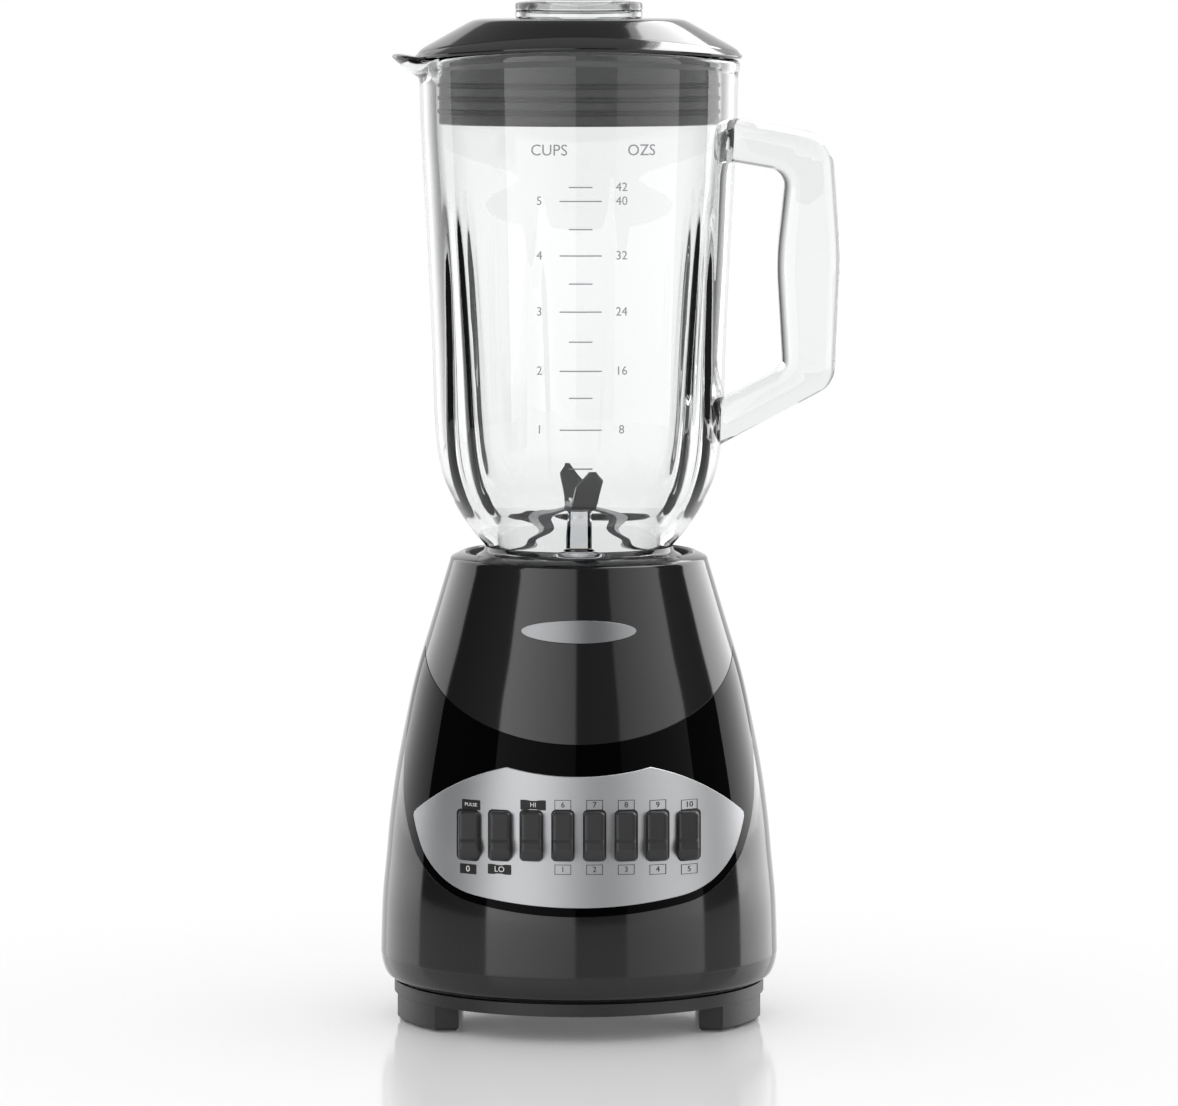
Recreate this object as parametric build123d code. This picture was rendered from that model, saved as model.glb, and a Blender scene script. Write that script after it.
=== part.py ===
from build123d import *
import math
import os

# Countertop blender, in millimetres. +Z is up, the motor axis is the Z axis and the counter is z = 0.
# The control keys face -Y, the jar handle points to +X and the pouring lip to -X.

# ---- overall sizes -------------------------------------------------------------------------------
base_bottom_radius = 77.1     # housing where it meets the base plate
base_wide_radius = 82.0       # widest place of the housing
base_mid_radius = 78.2        # on the long curve of the side
base_shoulder_radius = 67.1   # where the curve becomes a straight cone
base_top_radius = 53.2        # edge of the housing's top
base_bottom_z = 16.6
base_wide_z = 30.0
base_mid_z = 83.0
base_shoulder_z = 143.3
base_edge_z = 189.5
base_top_z = 193.0
housing_wall = 2.8
jar_opening_radius = 46.8

jar_wall = 6.6                # pressed glass
jar_mouth_radius = 65.2       # outside of the glass under the rim bead
jar_belly_radius = 59.2       # outside of the glass above the bottom curve
jar_waist_radius = 38.6       # narrowest place, just over the base
rim_z = 399.0                 # highest place of the glass rim
cap_top_z = 420.0
fit_gap = 0.3                 # between pieces of different bodies
seam_gap = 0.12               # between trim pieces of one body
key_count = 8
key_pitch = 12.66
key_travel = 5.0
jar_lift = 60.0

os.makedirs("parts", exist_ok=True)


def save(shape, node):
    """Writes one sub-part; its solids go in as they are."""
    solids = shape.solids() if hasattr(shape, "solids") else shape
    whole = solids[0] if len(solids) == 1 else Compound(children=list(solids))
    export_step(whole, f"parts/{node}.step")
    print(node, len(solids), round(sum(s.volume for s in solids) / 1000, 2), "cm3")


def turned(points):
    """A solid of revolution about Z from (radius, z) corners joined by straight lines."""
    outline = Polyline(*[(r, 0, z) for r, z in points], close=True)
    return revolve(make_face(outline), Axis.Z)


def ring(outer, inner, low, high, x=0.0, y=0.0):
    """A plain ring or tube standing on Z; inner 0 gives a disc."""
    tall = high - low
    middle = Pos(x, y, low + tall / 2)
    body = middle * Cylinder(outer, tall)
    return body - middle * Cylinder(inner, tall) if inner else body


def block(x_low, x_high, y_low, y_high, z_low, z_high):
    """A box from its six limits."""
    size = (x_high - x_low, y_high - y_low, z_high - z_low)
    centre = ((x_low + x_high) / 2, (y_low + y_high) / 2, (z_low + z_high) / 2)
    return Pos(*centre) * Box(*size)


def four_corners(shape):
    """The shape and its mirror images in X and Y."""
    pair = [shape, mirror(shape, Plane.YZ)]
    return pair + [mirror(s, Plane.XZ) for s in pair]


# ---- housing -------------------------------------------------------------------------------------
def housing_body(inset, top_drop=0.0):
    """Everything inside the housing's outer skin, taken in by inset."""
    bottom = (base_bottom_radius - inset, 0, base_bottom_z)
    curl = (base_wide_radius - 1.3 - inset, 0, (base_bottom_z + base_wide_z) / 2)
    wide = (base_wide_radius - inset, 0, base_wide_z)
    mid = (base_mid_radius - inset, 0, base_mid_z)
    shoulder = (base_shoulder_radius - inset, 0, base_shoulder_z)
    edge = (base_top_radius - inset, 0, base_edge_z - top_drop)
    rounded = (base_top_radius - 1.7 - inset, 0, base_edge_z + 1.8 - top_drop)
    crown = (jar_opening_radius - inset, 0, base_top_z - top_drop)
    side = [
        Line((0, 0, base_bottom_z), bottom),
        ThreePointArc(bottom, curl, wide),
        Spline(wide, mid, shoulder, tangents=[(0, 0, 1), (edge[0] - shoulder[0], 0, edge[2] - shoulder[2])]),
        Line(shoulder, edge),
        ThreePointArc(edge, (edge[0] - 0.4, 0, edge[2] + 1.25), rounded),
        Line(rounded, crown),
        Line(crown, (0, 0, crown[2])),
        Line((0, 0, crown[2]), (0, 0, base_bottom_z)),
    ]
    return Rot(0, 0, 90) * revolve(make_face(Wire(side)), Axis.Z)


def radius_at(z):
    """Radius of the housing's outer skin at a height between its wide place and its shoulder."""
    chord = base_shoulder_z - base_wide_z
    share = (z - base_wide_z) / chord
    bulge = 4 * share * (1 - share) * (base_mid_radius - (base_wide_radius + base_shoulder_radius) / 2)
    straight = base_wide_radius + share * (base_shoulder_radius - base_wide_radius)
    return straight + bulge


fascia_half = 71.8            # half width of the gloss fascia at its widest
fascia_wide_z = 100.0
fascia_corner = (63.1, 154.6)
fascia_low_corner = (58.6, 59.8)
fascia_low_z = 52.2
fascia_dip_z = 121.0          # middle of the fascia's hollow top edge
fascia_depth = 1.4
panel_margin = 3.6
panel_depth = 0.6
panel_proud = 0.3


def fascia_face(grow=0.0):
    """Outline of the gloss fascia seen from the front, as a face in the XZ plane."""
    cx, cz = fascia_corner[0] + grow, fascia_corner[1] + grow
    lx, lz = fascia_low_corner[0] + 0.7 * grow, fascia_low_corner[1] - 0.7 * grow
    half_wide = fascia_half + grow

    def side_mid(x_end, z_end):
        dx = half_wide - x_end
        dz = z_end - fascia_wide_z
        radius = (dx * dx + dz * dz) / (2 * dx)
        half = math.asin(dz / radius) / 2
        return half_wide - radius + radius * math.cos(half), fascia_wide_z + radius * math.sin(half)

    upper_mid = side_mid(cx, cz)
    lower_mid = side_mid(lx, lz)
    hollow = fascia_corner[1] - fascia_dip_z
    inner = cx - 2 * max(grow, 0)
    edges = [
        EllipticalCenterArc((0, cz), inner, hollow, start_angle=180, arc_size=180),
        ThreePointArc((lx, lz), (0, fascia_low_z - grow), (-lx, lz)),
    ]
    for sign in (-1, 1):
        edges.append(ThreePointArc((sign * cx, cz), (sign * upper_mid[0], upper_mid[1]),
                                   (sign * half_wide, fascia_wide_z)))
        edges.append(ThreePointArc((sign * half_wide, fascia_wide_z), (sign * lower_mid[0], lower_mid[1]),
                                   (sign * lx, lz)))
        if grow > 0:
            edges.append(Line((sign * inner, cz), (sign * cx, cz)))
    return Plane.XZ * make_face(Wire(edges))


panel_apex = (29.9, 111.7)
panel_dip_z = 108.3
panel_side = (70.0, 87.0)
panel_side_bulge = 3.1


def panel_cap_face():
    """Everything below the control panel's top edge, as a face in the XZ plane."""
    ax, az = panel_apex
    sx, sz = panel_side
    mx, mz = (ax + sx) / 2, (az + sz) / 2 + panel_side_bulge
    floor = fascia_low_z - 5
    edges = [
        ThreePointArc((-ax, az), (0, panel_dip_z), (ax, az)),
        ThreePointArc((ax, az), (mx, mz), (sx, sz)),
        Line((sx, sz), (sx, floor)),
        Line((sx, floor), (-sx, floor)),
        Line((-sx, floor), (-sx, sz)),
        ThreePointArc((-sx, sz), (-mx, mz), (-ax, az)),
    ]
    return Plane.XZ * make_face(Wire(edges))


def through_front(face):
    """Pushes an XZ face forward through the front half of the housing."""
    return extrude(face, amount=base_wide_radius + 5, dir=(0, -1, 0))



def key_spot(i):
    """X, skin Y and height of one key's middle."""
    x = (i - (key_count - 1) / 2) * key_pitch
    z = key_mid_z - key_arch * (x / (key_pitch * 3.5)) ** 2
    return x, -math.sqrt(radius_at(z) ** 2 - x ** 2), z


key_wide = 8.5
key_tall = 19.8
key_mid_z = 85.0
key_arch = 1.5                # the row of keys sags a little toward its ends
slot_gap = 0.45
stem_wide = 5.0
stem_tall = 6.0
bank_front = -54.0            # switch frame, front and back
bank_back = -42.0
stem_end = -50.0


def key_slots():
    """Openings for the keys through panel, fascia and housing."""
    cuts = []
    for i in range(key_count):
        x, y, z = key_spot(i)
        half_x, half_z = key_wide / 2 + slot_gap, key_tall / 2 + slot_gap
        cuts.append(block(x - half_x, x + half_x, -base_wide_radius - 5, y + 14,
                          z - half_z, z + half_z))
    return cuts


boss_spots = [(33.0, 59.0), (-33.0, 59.0), (33.0, -59.0), (-33.0, -59.0)]
boss_radius = 4.5
inlet_z = 34.0
inlet_radius = 7.8
cord_bore = 3.6
seat_screw_ring = 48.9
seat_flange_z = 185.0


def boss_web(x, y, top, grow):
    """Rib between a screw boss and the housing wall."""
    angle = math.degrees(math.atan2(y, x))
    tall = top - base_bottom_z + grow
    return Rot(0, 0, angle) * Pos(73.5, 0, base_bottom_z + tall / 2 - grow / 2) * Box(9, 3.6 + 2 * grow, tall)


def main_housing():
    skin = housing_body(0)
    hollow = housing_body(housing_wall, housing_wall)
    low = Pos(0, 0, base_bottom_z - 2) * Cylinder(base_bottom_radius - housing_wall, 8)
    shell = skin - hollow - low
    shell -= ring(jar_opening_radius, 0, seat_flange_z, base_top_z + 1)
    pocket = through_front(fascia_face(seam_gap))
    pocket -= housing_body(fascia_depth + 0.05)
    shell -= pocket
    shell -= key_slots()
    for x, y in boss_spots:
        shell += (ring(boss_radius, 0, base_bottom_z, 30, x, y) + boss_web(x, y, 30, 0)) & housing_body(0.5)
        shell -= ring(1.7, 0, base_bottom_z - 1, 27, x, y)
    for k in range(3):
        angle = math.radians(90 + 120 * k)
        x, y = seat_screw_ring * math.cos(angle), seat_screw_ring * math.sin(angle)
        shell += ring(2.2, 0, seat_flange_z, base_top_z - 2, x, y)
        shell -= ring(1.1, 0, seat_flange_z - 3, seat_flange_z + 4.4, x, y)
    inlet = Pos(0, base_wide_radius, inlet_z) * Rot(90, 0, 0) * Cylinder(inlet_radius + 0.2, 14)
    return shell - inlet


def front_fascia():
    skin = housing_body(0.1) - housing_body(fascia_depth)
    plate = skin & through_front(fascia_face())
    pocket = through_front(offset(panel_face(), amount=seam_gap)) - housing_body(panel_depth + 0.15)
    return plate - pocket - key_slots()


def panel_face():
    return fascia_face(-panel_margin) & panel_cap_face()


def control_panel():
    skin = housing_body(-panel_proud + 0.15) - housing_body(panel_depth + 0.1)
    return (skin & through_front(panel_face())) - key_slots()


badge_wide = 46.0
badge_tall = 9.0
badge_z = 165.5


def badge():
    """Plain oval plate on the cone over the fascia."""
    lean = math.degrees(math.atan2(base_shoulder_radius - base_top_radius,
                                   base_edge_z - base_shoulder_z))
    at = Plane.XZ
    face = make_face(Ellipse(badge_wide / 2, badge_tall / 2).edges())
    prism = extrude(at * face, amount=base_wide_radius, dir=(0, -1, 0))
    prism = Pos(0, 0, badge_z) * prism
    return (housing_body(-0.9) - housing_body(-0.02)) & prism


# ---- jar seat ------------------------------------------------------------------------------------
seat_floor_z = 160.0
seat_floor_thick = 3.0
seat_inner_radius = 45.3
seat_outer_radius = 46.6
seat_hole_radius = 15.5
drive_lug_inner = 39.8
drive_lug_outer = 43.2
drive_lug_half = 4.0
drive_lug_top = 166.0


def drive_lugs(grow):
    """The four lugs that stop the jar's collar from turning."""
    tube = ring(drive_lug_outer + grow, drive_lug_inner - grow, seat_floor_z - 0.2,
                drive_lug_top + grow)
    half = drive_lug_half + grow
    bar = block(-60, 60, -half, half, 150, 180)
    return tube & (Rot(0, 0, 45) * bar + Rot(0, 0, 135) * bar)


def jar_seat():
    lip_z = base_top_z - 0.4
    cup = turned([
        (seat_hole_radius, seat_floor_z - seat_floor_thick), (seat_outer_radius, seat_floor_z - seat_floor_thick),
        (seat_outer_radius, seat_flange_z - 2.2), (seat_screw_ring + 1.6, seat_flange_z - 2.2),
        (seat_screw_ring + 1.6, seat_flange_z), (seat_outer_radius, seat_flange_z),
        (seat_outer_radius, lip_z), (seat_inner_radius, lip_z), (seat_inner_radius, seat_floor_z),
        (seat_hole_radius, seat_floor_z),
    ])
    cup += drive_lugs(0)
    for k in range(3):
        angle = math.radians(90 + 120 * k)
        cup -= ring(1.2, 0, seat_flange_z - 3, seat_flange_z + 1,
                    seat_screw_ring * math.cos(angle), seat_screw_ring * math.sin(angle))
    return cup


def screw(shank, head, length, head_tall):
    """Pan-head screw pointing +Z, underside of the head at z = 0."""
    body = Pos(0, 0, length / 2) * Cylinder(shank, length)
    cap = Pos(0, 0, -head_tall / 2) * Cylinder(head, head_tall)
    slot = Pos(0, 0, -head_tall) * (Box(head * 1.3, head * 0.3, head_tall) + Box(head * 0.3, head * 1.3, head_tall))
    return body + cap - slot


def seat_screws():
    one = screw(1.05, 1.8, 6.2, 1.5)
    low = seat_flange_z - 2.2
    return [Rot(0, 0, 90 + 120 * k) * Pos(seat_screw_ring, 0, low) * one for k in range(3)]


# ---- base plate, legs and feet -------------------------------------------------------------------
plate_low_z = 13.4
plate_top_z = 16.0
skirt_low_z = 10.9
skirt_radius = 76.5
leg_front_y = 49.0
leg_back_y = 16.0
leg_inner_x = 49.0
leg_low_z = 0.8
foot_spot = (59.5, 32.0)
foot_radius = 6.5
motor_x = 36.0
motor_y = 32.0
post_top_z = 38.0


def base_plate():
    plate = ring(skirt_radius, 0, plate_low_z, plate_top_z)
    plate += ring(skirt_radius, skirt_radius - 2.6, skirt_low_z, plate_top_z)
    plate += ring(base_bottom_radius - housing_wall - 0.3, base_bottom_radius - housing_wall - 2.3,
                  plate_top_z, plate_top_z + 4)
    slots = []
    for angle in range(0, 360, 20):
        slots.append(Rot(0, 0, angle) * Pos(34, 0, plate_low_z + 1) * Box(18, 3.2, 12))
    plate -= slots
    for sx in (-1, 1):
        for sy in (-1, 1):
            plate += ring(6.5, 0, plate_top_z - 1, post_top_z, sx * motor_x, sy * motor_y)
            plate -= ring(2.0, 0, 26, post_top_z + 1, sx * motor_x, sy * motor_y)
    for x, y in boss_spots:
        plate -= ring(boss_radius + 0.3, 0, plate_top_z, plate_top_z + 5, x, y)
        plate -= boss_web(x, y, 30, 0.4) - ring(80, 0, 0, plate_top_z)
        plate -= ring(1.9, 0, plate_low_z - 1, plate_top_z + 1, x, y)
    for side in (-1, 1):
        plate -= ring(1.9, 0, plate_low_z - 1, plate_top_z + 1, side * 20, -47)
    return plate


def legs():
    tall = ring(skirt_radius, 0, leg_low_z, skirt_low_z - 0.05)
    tall += ring(skirt_radius - 2.8, 0, leg_low_z, plate_low_z)
    leg = tall & block(leg_inner_x, 80, leg_back_y, leg_front_y, 0, 20)
    leg = chamfer(leg.faces().sort_by(Axis.Z)[0].edges(), 1.2)
    leg -= ring(foot_radius + 0.1, 0, 0, leg_low_z + 1.8, *foot_spot)
    return four_corners(leg)


def rubber_feet():
    pad = ring(foot_radius, 0, 0, leg_low_z + 1.8, *foot_spot)
    return four_corners(fillet(pad.edges().sort_by(Axis.Z)[0], 0.5))


def base_screws():
    one = screw(1.6, 3.2, 10, 1.9)
    return [Pos(x, y, plate_low_z) * one for x, y in boss_spots]


def cord_inlet():
    """Gland at the back that the supply cord passes through."""
    back = base_wide_radius
    outline = [
        (cord_bore, back - 12), (inlet_radius, back - 12), (inlet_radius, back + 0.3),
        (inlet_radius + 2.4, back + 0.3), (inlet_radius + 2.4, back + 2.6),
        (inlet_radius - 1.6, back + 3.4), (inlet_radius - 2.4, back + 9.0), (cord_bore, back + 9.0),
    ]
    return Pos(0, 0, inlet_z) * Rot(-90, 0, 0) * turned(outline)


# ---- switch bank and keys ------------------------------------------------------------------------
bank_half = 50.0
bank_low_z = 74.0
bank_top_z = 96.0


def key_cap(i):
    """One push key: sloping face, rounded nose, stem that runs in the switch frame."""
    x, y, z = key_spot(i)
    half = key_tall / 2
    inner = y + 3.4
    low, high = z - half, z + half
    at = Plane.YZ

    def spot(a, b):
        return at.from_local_coords(Vector(a, b, 0))

    nose = y - 7.6
    edges = [
        Line(spot(inner, high), spot(y - 2.0, high)),
        ThreePointArc(spot(y - 2.0, high), spot(y - 3.3, high - 0.6), spot(y - 3.8, high - 2.0)),
        Line(spot(y - 3.8, high - 2.0), spot(nose + 0.2, z - 0.6)),
        ThreePointArc(spot(nose + 0.2, z - 0.6), spot(nose, z - 2.0), spot(nose + 0.9, z - 3.4)),
        ThreePointArc(spot(nose + 0.9, z - 3.4), spot(y - 2.6, z - 6.0), spot(y - 1.2, low)),
        Line(spot(y - 1.2, low), spot(inner, low)),
        Line(spot(inner, low), spot(inner, high)),
    ]
    cap = extrude(make_face(Wire(edges)), amount=key_wide / 2, both=True)
    front = [e for e in cap.edges() if e.center().Y < y - 2.5 and abs(e.center().X) > key_wide * 0.4]
    cap = fillet(front, 0.7)
    stem = block(-stem_wide / 2, stem_wide / 2, inner - 1, stem_end, z - stem_tall / 2, z + stem_tall / 2)
    return Pos(x, 0, 0) * (cap + stem)


def switch_frame():
    frame = block(-bank_half, bank_half, bank_front, bank_back, bank_low_z, bank_top_z)
    for i in range(key_count):
        x, y, z = key_spot(i)
        frame -= block(x - stem_wide / 2 - fit_gap, x + stem_wide / 2 + fit_gap, bank_front - 1,
                       bank_back - 1.5, z - stem_tall / 2 - fit_gap, z + stem_tall / 2 + fit_gap)
    for side in (-1, 1):
        frame += block(side * 20 - 5, side * 20 + 5, bank_front + 2, bank_back, plate_top_z, bank_low_z + 1)
        frame -= ring(1.7, 0, plate_top_z - 1, plate_top_z + 12, side * 20, -47)
    return frame


def switch_screws():
    one = screw(1.6, 3.0, 10, 1.8)
    return [Pos(side * 20, -47, plate_low_z) * one for side in (-1, 1)]


spring_wire = 0.3
spring_radius = 2.0


def key_springs():
    length = bank_back - 1.5 - stem_end - 0.3 - 2 * spring_wire
    path = Helix(pitch=length / 4, height=length, radius=spring_radius)
    section = Plane(origin=path @ 0, z_dir=path % 0) * Circle(spring_wire)
    coil = sweep(section, path=path, is_frenet=True)
    coil = Rot(-90, 0, 0) * coil
    out = []
    for i in range(key_count):
        x, y, z = key_spot(i)
        out.append(Pos(x, stem_end + 0.15 + spring_wire, z) * coil)
    return out


# ---- motor ---------------------------------------------------------------------------------------
core_low_z = 64.0
core_top_z = 98.0
core_half_x = 42.0
core_half_y = 38.0
yoke = 8.0
armature_radius = 20.0
air_gap = 0.6
pole_half = 11.0
bracket_thick = 3.0
lower_bracket_z = 44.0
upper_bracket_z = 114.0
shaft_radius = 4.0
bearing_radius = 11.0
bearing_tall = 7.0
fan_radius = 30.0


def motor_corners(shape):
    return [Pos(sx * motor_x, sy * motor_y, 0) * shape for sx in (-1, 1) for sy in (-1, 1)]


def stator_core():
    tall = core_top_z - core_low_z
    mid = core_low_z + tall / 2
    core = extrude(Pos(0, 0, core_low_z) * RectangleRounded(2 * core_half_x, 2 * core_half_y, 6), tall)
    core -= extrude(Pos(0, 0, core_low_z) * RectangleRounded(2 * (core_half_x - yoke - 3), 2 * (core_half_y - yoke), 5), tall)
    shoe = ring(armature_radius + air_gap + 3.6, 0, core_low_z, core_top_z)
    wedge = block(-17, 17, -40, 40, core_low_z, core_top_z)
    neck = Pos(0, 0, mid) * Box(2 * pole_half, 2 * (core_half_y - yoke + 1), tall)
    core += (shoe & wedge) + neck
    core -= ring(armature_radius + air_gap, 0, core_low_z - 1, core_top_z + 1)
    core -= motor_corners(ring(2.15, 0, core_low_z - 1, core_top_z + 1))
    return core


def field_coils():
    y_in = armature_radius + air_gap + 3.7
    y_out = core_half_y - yoke - 0.1
    mid = (core_low_z + core_top_z) / 2
    half = (core_top_z - core_low_z) / 2
    outer = Box(2 * 21.0, y_out - y_in, 2 * (half + 4.5))
    outer = fillet(outer.edges().filter_by(Axis.Y), 4)
    inner = Box(2 * (pole_half + 0.15), y_out - y_in + 1, 2 * (half + 0.15))
    coil = Pos(0, (y_in + y_out) / 2, mid) * (outer - inner)
    return [coil, mirror(coil, Plane.XZ)]


def bracket(low, post_low, post_high, bearing_low):
    plate = extrude(Pos(0, 0, low) * RectangleRounded(2 * core_half_x, 2 * core_half_y, 6), bracket_thick)
    for sx in (-1, 1):
        for sy in (-1, 1):
            window = Pos(sx * 23.5, sy * 20.5, low + 1) * Box(16, 13, 10)
            plate -= window
    plate += ring(bearing_radius + 3, 0, bearing_low - 0.5, bearing_low + bearing_tall)
    plate += motor_corners(ring(5, 0, post_low, post_high))
    plate -= ring(bearing_radius + 0.02, 0, bearing_low, bearing_low + bearing_tall + 9)
    plate -= ring(shaft_radius + 2.5, 0, bearing_low - 5, bearing_low + 1)
    plate -= motor_corners(ring(2.15, 0, post_low - 5, post_high + 5))
    return plate


def upper_bracket():
    return bracket(upper_bracket_z, core_top_z, upper_bracket_z + 1, upper_bracket_z - 3)


def lower_bracket():
    return bracket(lower_bracket_z, lower_bracket_z + 1, core_low_z, lower_bracket_z - 3)


def bearing(low):
    outer = ring(bearing_radius, bearing_radius - 2.4, low, low + bearing_tall)
    inner = ring(shaft_radius + 2.2, shaft_radius + 0.05, low, low + bearing_tall)
    shield = ring(bearing_radius - 2.2, shaft_radius + 2.0, low + 0.8, low + bearing_tall - 0.8)
    return outer + inner + shield


def motor_screws():
    head = screw(1.9, 3.8, upper_bracket_z + bracket_thick - 28, 3.0)
    top = upper_bracket_z + bracket_thick
    return motor_corners(Pos(0, 0, top) * Rot(180, 0, 0) * head)


def motor_mounts():
    mount = ring(7.0, 2.2, post_top_z, lower_bracket_z)
    groove = ring(9, 5.6, post_top_z + 2, lower_bracket_z - 2)
    return motor_corners(mount - groove)


brush_z = 54.0


def brush_holders():
    tube = block(13.5, 33, -5, 5, brush_z - 5, brush_z + 5) - block(13, 31.5, -3.2, 3.2, brush_z - 3.2, brush_z + 3.2)
    stand = block(24, 33, -5, 5, lower_bracket_z + bracket_thick, brush_z - 5)
    one = tube + stand
    return [one, mirror(one, Plane.YZ)]


commutator_radius = 11.0


def carbon_brushes():
    brush = block(commutator_radius + 0.15, 29, -3.0, 3.0, brush_z - 3.0, brush_z + 3.0)
    return [brush, mirror(brush, Plane.YZ)]


def lead_wires():
    out = []
    for k in range(3):
        path = Spline((3 - 3 * k, 68, 30 + 1.6 * k), (30, 56, 33 + 3 * k), (60, 20, 36 + 3 * k), (61, -12, 50 + 3 * k),
                      (56 - 3 * k, -36, 64), (46 - 3 * k, -47, bank_low_z - 1.4))
        section = Plane(origin=path @ 0, z_dir=path % 0) * Circle(1.1)
        out.append(sweep(section, path=path))
    return out


# turning group
def armature_shaft():
    return ring(shaft_radius, 0, lower_bracket_z - 8, 168.4)


def armature_core():
    low, high = core_low_z + 1, core_top_z - 1
    core = ring(armature_radius, shaft_radius + 0.02, low, high)
    slots = []
    for k in range(12):
        slots.append(Rot(0, 0, 30 * k) * Pos(armature_radius - 3.2, 0, (low + high) / 2) * Box(8, 2.0, high - low + 2))
    return core - slots


def armature_windings():
    ends = []
    for low, high in ((core_low_z - 3.6, core_low_z + 0.95), (core_top_z - 0.95, core_top_z + 5)):
        end = ring(armature_radius - 2.6, shaft_radius + 0.02, low, high)
        ends.append(fillet(end.edges().group_by(Axis.Z)[0 if low < core_low_z else -1], 1.2))
    return ends


def commutator():
    body = ring(commutator_radius, shaft_radius + 0.02, brush_z - 5, brush_z + 6.2)
    cuts = []
    for k in range(24):
        cuts.append(Rot(0, 0, 15 * k) * Pos(commutator_radius, 0, brush_z) * Box(1.6, 0.5, 16))
    return body - cuts


def cooling_fan():
    low = core_top_z + 5.6
    fan = ring(8.5, shaft_radius + 0.02, low, low + 6.4) + ring(fan_radius, 7.5, low, low + 1.4)
    blades = []
    for k in range(9):
        blades.append(Rot(0, 0, 40 * k) * Pos(fan_radius - 11.5, 0, low + 3.6) * Rot(0, 0, 22) * Box(20, 1.4, 5.6))
    return fan + blades


coupling_low_z = 161.5
stud_flat = 6.2               # half width of the hexagonal driving stud across its flats
stud_top_z = 170.0


def hexagon(half_flat, low, high):
    corner = half_flat / math.cos(math.pi / 6)
    return extrude(Pos(0, 0, low) * RegularPolygon(corner, 6), high - low)


def drive_coupling():
    body = ring(13.5, 0, coupling_low_z, coupling_low_z + 2.6) + hexagon(stud_flat, coupling_low_z + 2, stud_top_z)
    return body - ring(shaft_radius + 0.02, 0, coupling_low_z - 1, 168.45)


# ---- jar -----------------------------------------------------------------------------------------
neck_low_z = 172.6
neck_radius = 36.6
neck_bore = 31.4
flange_radius = 44.8
flange_low_z = 184.0
flange_top_z = 191.0
rim_drop = 3.9                # the rim is this much lower at the handle and the lip than in front
bead_radius = 66.0
bead_tall = 5.4
arch_radius = bead_radius ** 2 / (2 * rim_drop)


def arch(top):
    """Everything below the arched rim surface whose crown is at the given height."""
    drum = Pos(0, 0, top - arch_radius) * Rot(90, 0, 0) * Cylinder(arch_radius, 400)
    return drum & block(-120, 120, -120, 120, 150, top + 5)


def jar_outside():
    side = [
        Line((0, 0, neck_low_z), (neck_radius, 0, neck_low_z)),
        Line((neck_radius, 0, neck_low_z), (neck_radius, 0, flange_low_z)),
        Line((neck_radius, 0, flange_low_z), (flange_radius - 1, 0, flange_low_z)),
        ThreePointArc((flange_radius - 1, 0, flange_low_z), (flange_radius, 0, (flange_low_z + flange_top_z) / 2 - 1),
                      (flange_radius - 1.6, 0, flange_top_z - 1)),
        ThreePointArc((flange_radius - 1.6, 0, flange_top_z - 1), (jar_waist_radius + 0.9, 0, flange_top_z + 1.6),
                      (jar_waist_radius, 0, flange_top_z + 4.6)),
        Spline((jar_waist_radius, 0, flange_top_z + 4.6), (43.6, 0, 201.3), (50.5, 0, 211.6), (56.5, 0, 225.6),
               (jar_belly_radius, 0, 243.0), tangents=[(0.3, 0, 1), (0.0465, 0, 1)]),
        Line((jar_belly_radius, 0, 243.0), (jar_mouth_radius, 0, 372.0)),
        Line((jar_mouth_radius, 0, 372.0), (jar_mouth_radius + 0.4, 0, rim_z + 4)),
        Line((jar_mouth_radius + 0.4, 0, rim_z + 4), (0, 0, rim_z + 4)),
        Line((0, 0, rim_z + 4), (0, 0, neck_low_z)),
    ]
    return revolve(make_face(Wire(side)), Axis.Z)


def jar_inside():
    w = jar_wall
    side = [
        Line((0, 0, neck_low_z - 5), (neck_bore, 0, neck_low_z - 5)),
        Line((neck_bore, 0, neck_low_z - 5), (neck_bore, 0, flange_top_z + 6)),
        Spline((neck_bore, 0, flange_top_z + 6), (38.6, 0, 208.0), (45.6, 0, 217.5), (50.4, 0, 228.5),
               (jar_belly_radius - w, 0, 245.0), tangents=[(0.2, 0, 1), (0.0488, 0, 1)]),
        Line((jar_belly_radius - w, 0, 245.0), (jar_mouth_radius - w, 0, 368.0)),
        Line((jar_mouth_radius - w, 0, 368.0), (jar_mouth_radius - w, 0, rim_z + 6)),
        Line((jar_mouth_radius - w, 0, rim_z + 6), (0, 0, rim_z + 6)),
        Line((0, 0, rim_z + 6), (0, 0, neck_low_z - 5)),
    ]
    return revolve(make_face(Wire(side)), Axis.Z)


flute_angles = [-57, -16, 57, 123, 164, -123]
flute_top_z = 345.0
flute_low_z = 203.0
flute_depth = 3.4


def flutes(extra, low_radius, top_radius):
    """Long tapering cutters that follow the wall; extra moves them outward."""
    cuts = []
    for angle in flute_angles:
        tall = flute_top_z - flute_low_z
        cone = Cone(low_radius, top_radius, tall)
        lean = math.degrees(math.atan2(top_line - low_line, tall))
        x = (low_line + top_line) / 2 + extra
        placed = Pos(x, 0, flute_low_z + tall / 2) * Rot(0, lean, 0) * cone
        cuts.append(Rot(0, 0, angle - 90) * placed)
    return cuts


low_line = jar_belly_radius + 2.6
top_line = 63.6 + 1.6

lip_reach = 77.6
lip_rise = 32.0               # degrees, slope of the pouring lip
lip_radius = 14.0
lip_thick = 4.6


def lip_bar(radius):
    rise = math.radians(lip_rise)
    centre_x = -66.7 + radius_up(radius)[0]
    centre_z = 388.0 + radius_up(radius)[1]
    bar = Cylinder(radius, 60)
    return Pos(centre_x, 0, centre_z) * Rot(0, -(90 - math.degrees(rise)), 0) * bar


def radius_up(radius):
    rise = math.radians(lip_rise)
    return lip_radius * math.sin(rise), lip_radius * math.cos(rise)


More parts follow.
